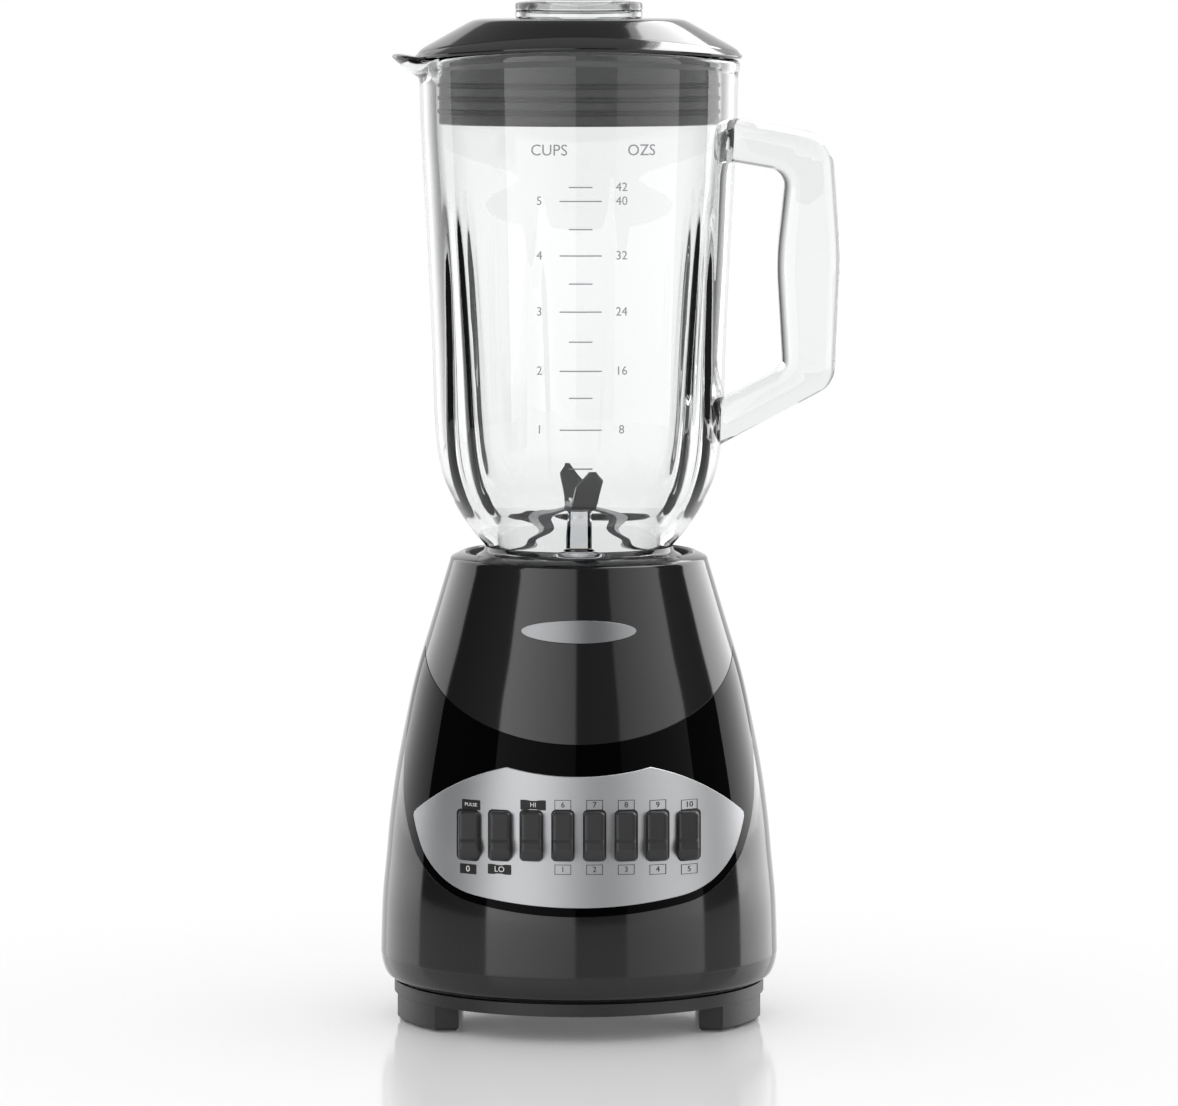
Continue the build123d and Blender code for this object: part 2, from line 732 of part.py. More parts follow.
handle_half = 13.5
handle_corners = [            # x, z, corner radius; outside from the top arm down, then back up the inside
    (59.5, 371.8, 0), (103.6, 364.0, 14), (107.1, 315.0, 160), (104.8, 262.2, 12), (55.0, 236.0, 0),
    (55.0, 254.2, 0), (83.6, 268.6, 7), (80.8, 313.0, 110), (84.8, 349.6, 7), (59.5, 354.0, 0),
]


def handle_loop():
    at = Plane.XZ
    outline = Polyline(*[(x, z) for x, z, r in handle_corners], close=True)
    face = make_face(outline)
    for x, z, r in handle_corners:
        if r:
            face = fillet(face.vertices().sort_by_distance((x, z, 0))[0], r)
    loop = extrude(at * face, amount=handle_half, both=True)
    side_edges = [e for e in loop.edges() if abs(abs(e.center().Y) - handle_half) < 0.1 and e.center().X > 60]
    for size in (5.0, 3.5, 2.0):
        try:
            return fillet(side_edges, size)
        except Exception:
            print("handle fillet", size, "not possible")
    return loop


def pouring_lip():
    limits = block(-lip_reach - 5, -60, -40, 40, 370, 405)
    lip = lip_bar(lip_radius) & limits & ring(lip_reach, 0, 370, 410)
    lip -= lip_bar(lip_radius - lip_thick)
    lip -= Pos(-66, 0, 395.6) * Rot(0, 10, 0) * Pos(0, 0, 20) * Box(80, 90, 40)
    lip -= ring(bead_radius + 1.2, 0, 370, 420) - arch(rim_z)
    return lip - jar_inside()


def glass_jar():
    hollow = Rot(0, 0, 90) * jar_inside()        # seams at the back, clear of the flutes and the handle
    for rib in flutes(-5.0, 11.0, 2.5):
        hollow -= rib
    wall = (Rot(0, 0, 90) * jar_outside() & arch(rim_z)) - hollow
    for groove in flutes(0, 8.2, 1.4):
        wall -= groove
    wall += ring(bead_radius, jar_mouth_radius - 2, rim_z - 14, rim_z + 4) & (arch(rim_z) - arch(rim_z - bead_tall))
    wall -= lip_bar(lip_radius - lip_thick) & block(-lip_reach - 5, -50, -40, 40, 370, 405)
    wall += pouring_lip()
    wall += handle_loop()
    return wall


def jar_collar():
    low = seat_floor_z + 0.1
    wall_in = neck_radius + 1.3
    ring_top = 168.4
    collar = turned([
        (15.5, ring_top - 2.2), (wall_in - 1.5, ring_top - 2.2), (wall_in - 1.5, low), (43.8, low),
        (43.8, flange_low_z - 0.3), (wall_in, flange_low_z - 0.3), (wall_in, ring_top), (15.5, ring_top),
    ])
    collar -= drive_lugs(0.35)
    for z in (174.5, 178.0, 181.5):
        collar += turned([(wall_in - 0.6, z), (wall_in + 0.2, z - 0.8), (wall_in + 0.2, z + 0.8)])
    grips = []
    for k in range(36):
        grips.append(Rot(0, 0, 10 * k) * Pos(44.2, 0, 173.5) * Cylinder(0.9, 13))
    return collar - grips


carrier_low_z = 168.4
carrier_top_z = 170.6
bush_bore = shaft_radius + 0.05
bush_radius = 6.2
socket_radius = 13.2          # room under the carrier for the driven coupling
socket_top_z = 175.5


def blade_gasket():
    return ring(neck_radius - 0.3, neck_bore + 0.2, carrier_top_z, neck_low_z)


def blade_carrier():
    side = [
        Line((bush_radius + 0.02, 0, socket_top_z), (socket_radius, 0, socket_top_z)),
        Line((socket_radius, 0, socket_top_z), (socket_radius, 0, carrier_low_z)),
        Line((socket_radius, 0, carrier_low_z), (neck_radius - 0.3, 0, carrier_low_z)),
        Line((neck_radius - 0.3, 0, carrier_low_z), (neck_radius - 0.3, 0, carrier_top_z)),
        Line((neck_radius - 0.3, 0, carrier_top_z), (24.0, 0, carrier_top_z)),
        Spline((24.0, 0, carrier_top_z), (17.6, 0, 176.6), (11.6, 0, 186.0), (8.6, 0, 193.0),
               tangents=[(-1, 0, 0.2), (-0.2, 0, 1)]),
        ThreePointArc((8.6, 0, 193.0), (7.6, 0, 198.6), (bush_radius + 0.02, 0, 200.4)),
        Line((bush_radius + 0.02, 0, 200.4), (bush_radius + 0.02, 0, socket_top_z)),
    ]
    return revolve(make_face(Wire(side)), Axis.Z)


def upper_bush():
    return ring(bush_radius, bush_bore, 189.0, 200.6)


def lower_bush():
    return ring(bush_radius, bush_bore, socket_top_z + 0.3, 184.0)


def blade_shaft():
    return ring(shaft_radius, 0, 170.9, 211.6)


def blade_spacer():
    return ring(5.4, shaft_radius + 0.02, 200.9, 206.8)


blade_thick = 1.4


def blade_pair(low, reach, rise, wide, tip_wide, turn):
    """Hub disc and two arms bent up or down by rise, as one stamped sheet."""
    hub = ring(7.2, shaft_radius + 0.02, low, low + blade_thick)
    lean = math.degrees(math.atan2(rise, reach - 8))
    long = math.hypot(reach - 8, rise) + 1
    at = Plane.XY
    outline = Polyline((-1.5, -wide / 2), (long * 0.62, -wide / 2), (long, -tip_wide / 2 + 0.6),
                       (long, tip_wide / 2), (long * 0.8, wide / 2), (-1.5, wide / 2), close=True)
    sheet = extrude(at * make_face(outline), blade_thick)
    arm = Pos(7.0, 0, low) * Rot(0, -lean, 0) * sheet
    arm -= ring(shaft_radius + 0.02, 0, low - 10, low + 30)
    below, above = (9.2, 7.2) if rise > 0 else (7.2, 9.2)
    arm = arm - ring(below, 0, low - 20, low) - ring(above, 0, low + blade_thick, low + 30)
    pair = hub + arm + Rot(0, 0, 180) * arm
    return Rot(0, 0, turn) * pair


def lower_blades():
    return blade_pair(206.8, 28.0, -9.5, 11.0, 4.0, 0)


def upper_blades():
    return blade_pair(206.8 + blade_thick, 23.0, 17.5, 10.5, 3.6, -76)


def blade_nut():
    low = 206.8 + 2 * blade_thick
    nut = hexagon(5.6, low, low + 2.6) + ring(4.6, 0, low + 2, low + 4.0)
    nut = nut - ring(shaft_radius + 0.02, 0, low - 1, 211.65)
    return nut


def driven_coupling():
    body = ring(socket_radius - 0.8, 0, coupling_low_z + 4.0, socket_top_z - 0.8)
    body -= hexagon(stud_flat + fit_gap, coupling_low_z + 2, stud_top_z + 0.5)
    body -= ring(shaft_radius + 0.02, 0, stud_top_z + 0.4, socket_top_z)
    return body


# ---- lid and cap ---------------------------------------------------------------------------------
lid_radius = 66.9
lid_front = 55.0              # half width of the raised middle, front to back
lid_crease_z = 405.3
cap_radius = 26.1
cap_low_z = 412.1
plug_radius = 57.4
plug_low_z = 369.0
lid_wall = 2.6
cap_neck = 24.2


def lid_top(inset):
    """Turned crown of the lid, taken in by inset."""
    side = [
        Line((0, 0, 380), (lid_radius - inset, 0, 380)),
        Line((lid_radius - inset, 0, 380), (lid_radius - inset, 0, 396.0)),
        ThreePointArc((lid_radius - inset, 0, 396.0), (64.9 - inset, 0, 400.3 - inset * 0.4),
                      (60.6 - inset * 0.5, 0, 402.7 - inset)),
        Line((60.6 - inset * 0.5, 0, 402.7 - inset), (46.6 - inset * 0.3, 0, 410.2 - inset)),
        ThreePointArc((46.6 - inset * 0.3, 0, 410.2 - inset), (43.2 - inset * 0.3, 0, 411.4 - inset), (39, 0, 411.9 - inset)),
        Line((39, 0, 411.9 - inset), (0, 0, 411.9 - inset)),
        Line((0, 0, 411.9 - inset), (0, 0, 380)),
    ]
    return revolve(make_face(Wire(side)), Axis.Z)


def lid_trim(inset):
    """Plan limits of the lid: round below the brim, drawn in at front and back above it."""
    brim = ring(lid_radius - inset, 0, 370, rim_z + 1.4)
    low = Pos(0, 0, rim_z + 1.4) * Ellipse(lid_radius - inset, lid_radius - inset)
    high = Pos(0, 0, lid_crease_z) * Ellipse(lid_radius + 0.3 - inset, lid_front - inset)
    slope = loft([low, high])
    top = extrude(Pos(0, 0, lid_crease_z) * Ellipse(lid_radius + 0.3 - inset, lid_front - inset), 12)
    return brim + slope + top


def lid():
    crown = (lid_top(0) & lid_trim(0)) - arch(rim_z + 0.12)
    inner = (lid_top(lid_wall) & lid_trim(lid_wall)) & ring(plug_radius - lid_wall, 0, 380, 420)
    crown -= inner
    plug = ring(plug_radius, plug_radius - lid_wall, plug_low_z, rim_z + 2.5) & lid_trim(0.3)
    body = crown + plug
    for z in (385.0, 379.6, 374.3):
        body -= ring(plug_radius + 1, plug_radius - 1.0, z - 1.1, z + 1.1)
    body += ring(cap_neck + 0.7 + lid_wall, 0, 398.0, 411.9)
    body -= ring(cap_neck + 0.7, 0, 390, 420)
    return body


def lid_seal():
    out = []
    for z in (385.0, 379.6, 374.3):
        out.append(turned([(plug_radius - 0.95, z - 1.0), (plug_radius + 0.2, z - 1.0), (plug_radius + 0.75, z),
                           (plug_radius + 0.2, z + 1.0), (plug_radius - 0.95, z + 1.0)]))
    return out


def filler_cap():
    dome = 2.6
    ball = (cap_radius ** 2 + dome ** 2) / (2 * dome)
    half_way = cap_top_z - ball + math.sqrt(ball ** 2 - (cap_radius / 2) ** 2)
    side = [
        Line((0, 0, cap_top_z), (0, 0, cap_top_z - 2.4)),
        Line((0, 0, cap_top_z - 2.4), (cap_neck - 2.0, 0, cap_low_z + 1.5)),
        Line((cap_neck - 2.0, 0, cap_low_z + 1.5), (cap_neck - 2.4, 0, 396.0)),
        Line((cap_neck - 2.4, 0, 396.0), (cap_neck - 0.4, 0, 396.0)),
        Line((cap_neck - 0.4, 0, 396.0), (cap_neck, 0, cap_low_z)),
        Line((cap_neck, 0, cap_low_z), (cap_radius, 0, cap_low_z)),
        Line((cap_radius, 0, cap_low_z), (cap_radius, 0, cap_top_z - dome)),
        ThreePointArc((cap_radius, 0, cap_top_z - dome), (cap_radius / 2, 0, half_way), (0, 0, cap_top_z)),
    ]
    return revolve(make_face(Wire(side)), Axis.Z)


key_names = ["key_pulse_off", "key_low", "key_high", "key_speed_1_6", "key_speed_2_7", "key_speed_3_8",
             "key_speed_4_9", "key_speed_5_10"]

makers = [
    main_housing, front_fascia, control_panel, badge, jar_seat, seat_screws, base_plate, legs, rubber_feet,
    base_screws, cord_inlet, switch_frame, switch_screws, key_springs, stator_core, field_coils,
    upper_bracket, lower_bracket, motor_screws, motor_mounts, brush_holders, carbon_brushes, lead_wires,
    armature_shaft, armature_core, armature_windings, commutator, cooling_fan, drive_coupling,
    glass_jar, jar_collar, blade_gasket, blade_carrier, upper_bush, lower_bush,
    blade_shaft, blade_spacer, lower_blades, upper_blades, blade_nut, driven_coupling,
    lid, lid_seal, filler_cap,
]


def gather(made):
    """Turns a shape or a list of shapes into a flat list of solids."""
    items = made if isinstance(made, (list, tuple)) and not hasattr(made, "wrapped") else [made]
    return [s for item in items for s in item.solids()]


def write_all():
    for maker in makers:
        save(gather(maker()), maker.__name__)
    save(gather(bearing(upper_bracket_z - 3)), "upper_motor_bearing")
    save(gather(bearing(lower_bracket_z - 3)), "lower_motor_bearing")
    for i, name in enumerate(key_names):
        save(gather(key_cap(i)), name)


write_all()
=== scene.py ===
import bpy
import bmesh
import math
from mathutils import Vector, Matrix
from mathutils.geometry import delaunay_2d_cdt


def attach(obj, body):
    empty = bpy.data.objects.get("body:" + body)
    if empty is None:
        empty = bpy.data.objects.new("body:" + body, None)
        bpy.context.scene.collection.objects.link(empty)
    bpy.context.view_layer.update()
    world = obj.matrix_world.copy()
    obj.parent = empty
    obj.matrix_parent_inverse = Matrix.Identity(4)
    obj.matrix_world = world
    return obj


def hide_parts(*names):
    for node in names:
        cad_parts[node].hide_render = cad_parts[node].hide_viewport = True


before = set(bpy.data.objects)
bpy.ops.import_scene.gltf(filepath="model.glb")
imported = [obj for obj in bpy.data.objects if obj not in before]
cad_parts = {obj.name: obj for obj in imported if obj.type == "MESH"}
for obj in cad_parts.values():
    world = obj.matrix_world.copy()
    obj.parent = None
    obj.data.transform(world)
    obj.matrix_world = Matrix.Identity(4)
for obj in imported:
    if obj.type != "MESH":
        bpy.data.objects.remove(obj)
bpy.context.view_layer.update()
mm = 0.001
print("frame loaded:", len(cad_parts), "nodes")


# ---- colours, nodes and materials ----
def paint(code, alpha=1.0):
    # sRGB hex to the linear values that sockets hold
    parts = [int(code[i:i + 2], 16) / 255 for i in (1, 3, 5)]
    linear = [c / 12.92 if c <= 0.04045 else ((c + 0.055) / 1.055) ** 2.4 for c in parts]
    return (*linear, alpha)


def addNode(tree, kind, settings=None, values=None, links=None):
    # one node with its settings, socket values and incoming links
    node = tree.nodes.new(kind)
    for key, value in (settings or {}).items():
        setattr(node, key, value)
    for key, value in (values or {}).items():
        node.inputs[key].default_value = value
    for key, source in (links or {}).items():
        tree.links.new(source, node.inputs[key])
    return node


def newMaterial(name, colour, rough=0.5, metal=0.0, ior=1.45, more=None, grain=None):
    # grain = (size in mm, height in mm, stretch along x, y, z) for a fine moulded or brushed surface
    material = bpy.data.materials.new(name)
    material.use_nodes = True
    material.diffuse_color = paint(colour)
    tree = material.node_tree
    shader = tree.nodes["Principled BSDF"]
    shader.inputs["Base Color"].default_value = paint(colour)
    shader.inputs["Roughness"].default_value = rough
    shader.inputs["Metallic"].default_value = metal
    if not metal:
        shader.inputs["IOR"].default_value = ior
    for key, value in (more or {}).items():
        shader.inputs[key].default_value = value
    if grain:
        size, height, stretch = grain
        place = addNode(tree, "ShaderNodeTexCoord")
        turn = addNode(tree, "ShaderNodeMapping", {}, {"Scale": stretch}, {"Vector": place.outputs["Object"]})
        noise = addNode(tree, "ShaderNodeTexNoise", {}, {"Scale": 1 / (size * mm), "Detail": 3.0},
                        {"Vector": turn.outputs["Vector"]})
        bump = addNode(tree, "ShaderNodeBump", {}, {"Strength": 1.0, "Distance": height * mm},
                       {"Height": noise.outputs["Fac"]})
        tree.links.new(bump.outputs["Normal"], shader.inputs["Normal"])
    return material


finishes = {
    # injection-moulded ABS from a polished mould: black with sharp, slightly rolling reflections
    "polishedAbs": newMaterial("polished moulded ABS", "#08080a", 0.09, ior=1.54),
    # moulded ABS insert, mirror polished: the deepest black on the object
    "mirrorAbs": newMaterial("mirror polished ABS insert", "#010101", 0.03,
                              more={"Specular IOR Level": 0.16, "Specular Tint": (0.3, 0.3, 0.3, 1)}),
    # rolled aluminium sheet brushed across its width: soft streaked shine, drawn coarser than real 0.1 mm lines
    "brushedAluminium": newMaterial("brushed aluminium sheet", "#a9aaac", 0.38, 1.0,
                                    more={"Anisotropic": 0.5}, grain=(0.5, 0.004, (0.04, 0.04, 1.0))),
    # aluminium sheet, fine bead blasted: an even pale grey
    "satinAluminium": newMaterial("bead blasted aluminium", "#8b8c8e", 0.32, 1.0),
    # moulded ABS with a satin mould: dark grey with a broad highlight
    "satinAbs": newMaterial("satin moulded ABS", "#262628", 0.3, ior=1.5),
    # glass-filled polypropylene with a fine spark-eroded grain: near black, dull
    "grainedPolypropylene": newMaterial("grained polypropylene", "#1a1a1b", 0.45, ior=1.49,
                                        grain=(0.8, 0.02, (1, 1, 1))),
    # moulded nitrile rubber: dull black
    "nitrileRubber": newMaterial("moulded nitrile rubber", "#121212", 0.62, ior=1.52),
    # pressed soda-lime glass, fire polished: clear, with a faint grey in thick places
    "pressedGlass": newMaterial("pressed soda-lime glass", "#fcfdfd", 0.0, ior=1.5,
                                more={"Transmission Weight": 1.0}),
    # moulded SAN plastic: clear as the glass, a little brighter at its edges
    "clearSan": newMaterial("moulded clear SAN", "#fbfcfc", 0.01, ior=1.56, more={"Transmission Weight": 1.0}),
    # zinc-plated steel, rolled threads: pale grey
    "zincSteel": newMaterial("zinc plated steel", "#a9aaac", 0.35, 1.0),
    # chromed steel: mirror bright
    "chromedSteel": newMaterial("polished chromed steel", "#d9dadc", 0.05, 1.0),
    # stamped stainless steel, tumbled: grey and soft
    "stampedStainless": newMaterial("stamped stainless steel", "#5b5c5e", 0.22, 1.0),
    # varnished steel laminations: dark blue grey
    "laminatedSteel": newMaterial("varnished steel laminations", "#3c3f45", 0.5, 0.8,
                                  grain=(1.0, 0.05, (0.02, 0.02, 1.0))),
    # enamelled copper wire: orange brown with a shine
    "enamelledCopper": newMaterial("enamelled copper wire", "#b0623a", 0.3, 1.0, grain=(1.0, 0.08, (0.1, 1, 1))),
    # die-cast zinc alloy: light grey, slightly rough
    "diecastAlloy": newMaterial("die cast alloy", "#a2a3a5", 0.42, 1.0),
    # sintered bronze: dull brown yellow
    "sinteredBronze": newMaterial("sintered bronze", "#9a7748", 0.48, 1.0),
    # pressed carbon: dull black grey
    "pressedCarbon": newMaterial("pressed carbon", "#242424", 0.7),
    # extruded PVC wire cover: red, half dull
    "redPvc": newMaterial("extruded red PVC", "#a8322a", 0.4),
    # white pad-printing ink: flat white
    "whiteInk": newMaterial("white pad printed ink", "#e9e9e6", 0.55),
    # black pad-printing ink: flat black
    "blackInk": newMaterial("black pad printed ink", "#0c0c0c", 0.5),
    # ceramic ink fired on glass: pale grey, flat
    "firedGreyInk": newMaterial("grey fired ceramic ink", "#8f9092", 0.5),
}

cadFinish = {  # CAD nodes whose own shape is kept
    "grainedPolypropylene": ["base_plate", "legs", "cord_inlet", "switch_frame", "brush_holders", "jar_seat",
                             "jar_collar", "cooling_fan"],
    "nitrileRubber": ["rubber_feet", "motor_mounts", "blade_gasket"],
    "zincSteel": ["seat_screws", "base_screws", "switch_screws", "motor_screws", "key_springs",
                  "upper_motor_bearing", "lower_motor_bearing", "armature_shaft", "blade_shaft"],
    "laminatedSteel": ["stator_core", "armature_core"],
    "enamelledCopper": ["field_coils", "armature_windings", "commutator"],
    "diecastAlloy": ["upper_bracket", "lower_bracket", "drive_coupling", "driven_coupling"],
    "pressedCarbon": ["carbon_brushes"],
    "redPvc": ["lead_wires"],
    "sinteredBronze": ["upper_bush", "lower_bush"],
    "stampedStainless": ["lower_blades", "upper_blades"],
    "chromedSteel": ["blade_carrier", "blade_spacer", "blade_nut"],
}
for finish, names in cadFinish.items():
    for name in names:
        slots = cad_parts[name].material_slots
        for entry in slots:
            entry.material = finishes[finish]


def darken(material, perMetre):
    # thick glass swallows a little light, so its edges and the handle read grey
    tree = material.node_tree
    body = addNode(tree, "ShaderNodeVolumeAbsorption", {}, {"Color": (0, 0, 0, 1), "Density": perMetre})
    tree.links.new(body.outputs["Volume"], tree.nodes["Material Output"].inputs["Volume"])


darken(finishes["pressedGlass"], 4.5)
print("materials ready:", len(finishes))


# ---- small builders ----
def pieceFrom(name, points, faces, finish, body, replaced=(), sharp=32):
    # a mesh piece with smooth faces and real corners, riding on its body
    mesh = bpy.data.meshes.new(name)
    mesh.from_pydata([Vector(p) * mm for p in points], [], faces)
    mesh.validate()
    mesh.materials.append(finishes[finish])
    mesh.polygons.foreach_set("use_smooth", [True] * len(mesh.polygons))
    piece = bpy.data.objects.new(name, mesh)
    bpy.context.collection.objects.link(piece)
    if sharp:
        mesh.set_sharp_from_angle(angle=math.radians(sharp))
    settle(piece, body, replaced)
    return piece


def settle(piece, body, replaced=()):
    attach(piece, body)
    if replaced:
        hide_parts(*replaced)


def applied(piece):
    # the piece's modifiers made permanent
    graph = bpy.context.evaluated_depsgraph_get()
    graph.update()
    mesh = bpy.data.meshes.new_from_object(piece.evaluated_get(graph))
    piece.modifiers.clear()
    piece.data = mesh
    return piece


def gridFaces(rows, around, closedRows=False):
    # quads between rows of points that each go once round
    faces = []
    last = rows if closedRows else rows - 1
    for i in range(last):
        j = (i + 1) % rows
        for k in range(around):
            n = (k + 1) % around
            faces.append((i * around + k, i * around + n, j * around + n, j * around + k))
    return faces


def turnedPiece(name, outline, finish, body, replaced=(), around=160, closed=True, shape=None, sharp=32):
    # outline = (radius, z) points; shape(r, angle, z) may move each point
    points = []
    for r, z in outline:
        for k in range(around):
            a = 2 * math.pi * k / around
            x, y, h = r * math.cos(a), r * math.sin(a), z
            points.append(shape(r, a, z) if shape else (x, y, h))
    return pieceFrom(name, points, gridFaces(len(outline), around, closed), finish, body, replaced, sharp)


def smoothLine(points, steps):
    # a Catmull-Rom line through the points
    ends = [tuple(2 * a - b for a, b in zip(points[0], points[1]))] + list(points)
    ends.append(tuple(2 * a - b for a, b in zip(points[-1], points[-2])))
    out = []
    for i in range(1, len(ends) - 2):
        p0, p1, p2, p3 = ends[i - 1:i + 3]
        for s in range(steps):
            t = s / steps
            out.append(tuple(0.5 * (2 * b + (c - a) * t + (2 * a - 5 * b + 4 * c - d) * t * t
                                    + (3 * b - a - 3 * c + d) * t ** 3) for a, b, c, d in zip(p0, p1, p2, p3)))
    out.append(points[-1])
    return out


def arcPoints(centre, radius, start, end, steps):
    return [(centre[0] + radius * math.cos(math.radians(start + (end - start) * i / steps)),
             centre[1] + radius * math.sin(math.radians(start + (end - start) * i / steps)))
            for i in range(steps + 1)]


def ramp(value, low, high):
    t = min(max((value - low) / (high - low), 0), 1)
    return t * t * (3 - 2 * t)


# ---- housing ----
housing = {
    "wideRadius": 82.0, "wideZ": 30.0, "midRadius": 78.2, "midZ": 83.0,
    "shoulderRadius": 67.1, "shoulderZ": 143.3, "topRadius": 53.2, "topZ": 189.5,
    "bottomRadius": 77.1, "bottomZ": 16.6, "rimZ": 193.0, "openingRadius": 46.8, "wall": 2.8,
}


def housingSide():
    # outer outline from the bottom edge up to the top corner
    h = housing
    low = [(h["bottomRadius"] - 0.5, h["bottomZ"]), (h["bottomRadius"], h["bottomZ"] + 0.3)]
    curl = smoothLine([low[-1], (79.7, 18.9), (81.2, 22.6), (h["wideRadius"] - 0.1, 26.5),
                       (h["wideRadius"], h["wideZ"]), (81.3, 50.0), (79.6, 68.0), (h["midRadius"], h["midZ"]),
                       (75.6, 102.0), (71.5, 123.5), (h["shoulderRadius"], h["shoulderZ"]), (60.2, 166.3),
                       (h["topRadius"], h["topZ"])], 10)
    return low[:1] + curl


sideLine = housingSide()


def skinRadius(z):
    # the housing's outer radius at a height
    for (r0, z0), (r1, z1) in zip(sideLine, sideLine[1:]):
        if z0 <= z <= z1:
            return r0 + (r1 - r0) * (z - z0) / max(z1 - z0, 1e-6)
    return sideLine[-1][0]


def onSkin(x, z, out=0.0):
    # a point on the front of the housing, out millimetres proud
    r = skinRadius(z)
    depth = math.sqrt(max(r * r - x * x, 0.01))
    scale = (r + out) / r
    return (x * scale, -depth * scale, z)


def buildHousing():
    h = housing
    top = [(h["topRadius"] - 0.15, h["topZ"] + 0.8), (h["topRadius"] - 0.7, h["topZ"] + 1.5),
           (h["topRadius"] - 1.7, h["topZ"] + 2.0), (h["openingRadius"] + 1.4, h["rimZ"]),
           (h["openingRadius"] + 0.5, h["rimZ"] - 0.1), (h["openingRadius"], h["rimZ"] - 0.6),
           (h["openingRadius"], h["rimZ"] - h["wall"])]
    inside = [(max(r - h["wall"], h["openingRadius"]), z) for r, z in reversed(sideLine[::4]) if z < h["rimZ"] - 6]
    outline = sideLine + top + inside + [(h["bottomRadius"] - h["wall"], h["bottomZ"])]
    turnedPiece("mainHousing", outline, "polishedAbs", "base", ("main_housing",), 256, sharp=40)


buildHousing()


def patch(name, outline, out, depth, finish, replaced=(), step=2.2, edge=0.25):
    # a plate bent to the housing: its outline in x, z, how proud it stands and how thick it is;
    # it is filled in angle and height, so it follows the skin near the sides too
    inside, unroll = [], 70.0
    outline = [(unroll * math.asin(min(max(x / skinRadius(z), -1), 1)), z) for x, z in outline]
    lowX, highX = min(p[0] for p in outline), max(p[0] for p in outline)
    lowZ, highZ = min(p[1] for p in outline), max(p[1] for p in outline)
    shrink = step * 0.45

    def clear(x, z):
        hit = False
        for (x0, z0), (x1, z1) in zip(outline, outline[1:] + outline[:1]):
            if (z0 > z) != (z1 > z) and x < (x1 - x0) * (z - z0) / (z1 - z0) + x0:
                hit = not hit
            dx, dz = x1 - x0, z1 - z0
            t = min(max(((x - x0) * dx + (z - z0) * dz) / max(dx * dx + dz * dz, 1e-9), 0), 1)
            if math.hypot(x - x0 - t * dx, z - z0 - t * dz) < shrink:
                return False
        return hit

    z = lowZ + step / 2
    while z < highZ:
        x = lowX + step / 2
        while x < highX:
            if clear(x, z):
                inside.append((x, z))
            x += step
        z += step
    count = len(outline)
    points2 = [Vector(p) for p in list(outline) + inside]
    made = delaunay_2d_cdt(points2, [(i, (i + 1) % count) for i in range(count)], [], 1, 1e-6)
    flat, faces = made[0], made[2]
    points = [onSkin(skinRadius(p[1]) * math.sin(p[0] / unroll), p[1], out) for p in flat]
    mesh = bpy.data.meshes.new(name)
    mesh.from_pydata([Vector(p) * mm for p in points], [], [list(f) for f in faces])
    work = bmesh.new()
    work.from_mesh(mesh)
    bmesh.ops.recalc_face_normals(work, faces=work.faces)
    if sum(f.normal.y * f.calc_area() for f in work.faces) > 0:
        bmesh.ops.reverse_faces(work, faces=work.faces)
    front = list(work.faces)
    backs = bmesh.ops.duplicate(work, geom=front)
    backFaces = [g for g in backs["geom"] if isinstance(g, bmesh.types.BMFace)]
    backVerts = [g for g in backs["geom"] if isinstance(g, bmesh.types.BMVert)]
    for v in backVerts:
        r = math.hypot(v.co.x, v.co.y)
        v.co.x *= (r - depth * mm) / r
        v.co.y *= (r - depth * mm) / r
    bmesh.ops.reverse_faces(work, faces=backFaces)
    rimFront = [e for e in work.edges if e.is_boundary and any(f in set(front) for f in e.link_faces)]
    rimBack = [e for e in work.edges if e.is_boundary and any(f in set(backFaces) for f in e.link_faces)]
    bmesh.ops.bridge_loops(work, edges=rimFront + rimBack)
    bmesh.ops.recalc_face_normals(work, faces=work.faces)
    work.to_mesh(mesh)
    work.free()
    mesh.materials.append(finishes[finish])
    mesh.polygons.foreach_set("use_smooth", [True] * len(mesh.polygons))
    mesh.set_sharp_from_angle(angle=math.radians(35))
    piece = bpy.data.objects.new(name, mesh)
    bpy.context.collection.objects.link(piece)
    if edge:
        bevel = piece.modifiers.new("edge", "BEVEL")
        bevel.width = edge * mm
        bevel.segments = 2
        bevel.limit_method = "ANGLE"
        bevel.angle_limit = math.radians(50)
        applied(piece)
    settle(piece, "base", replaced)
    return piece


fascia = {"half": 71.8, "wideZ": 100.0, "corner": (63.1, 154.6), "lowCorner": (58.6, 59.8), "lowZ": 52.2,
          "dipZ": 121.0, "panelMargin": 3.7, "apex": (28.8, 111.6), "panelDipZ": 108.3, "sideZ": 92.4, "ease": 13}


def throughThree(a, b, c, steps):
    # points on the circle arc from a through b to c
    ax, ay, bx, by, cx, cy = *a, *b, *c
    d = 2 * (ax * (by - cy) + bx * (cy - ay) + cx * (ay - by))
    ux = ((ax ** 2 + ay ** 2) * (by - cy) + (bx ** 2 + by ** 2) * (cy - ay) + (cx ** 2 + cy ** 2) * (ay - by)) / d
    uy = ((ax ** 2 + ay ** 2) * (cx - bx) + (bx ** 2 + by ** 2) * (ax - cx) + (cx ** 2 + cy ** 2) * (bx - ax)) / d
    r = math.hypot(ax - ux, ay - uy)
    start, mid, end = (math.atan2(p[1] - uy, p[0] - ux) for p in (a, b, c))
    sweep = (end - start) % (2 * math.pi)
    if (mid - start) % (2 * math.pi) > sweep:
        sweep -= 2 * math.pi
    return [(ux + r * math.cos(start + sweep * i / steps), uy + r * math.sin(start + sweep * i / steps))
            for i in range(steps + 1)]


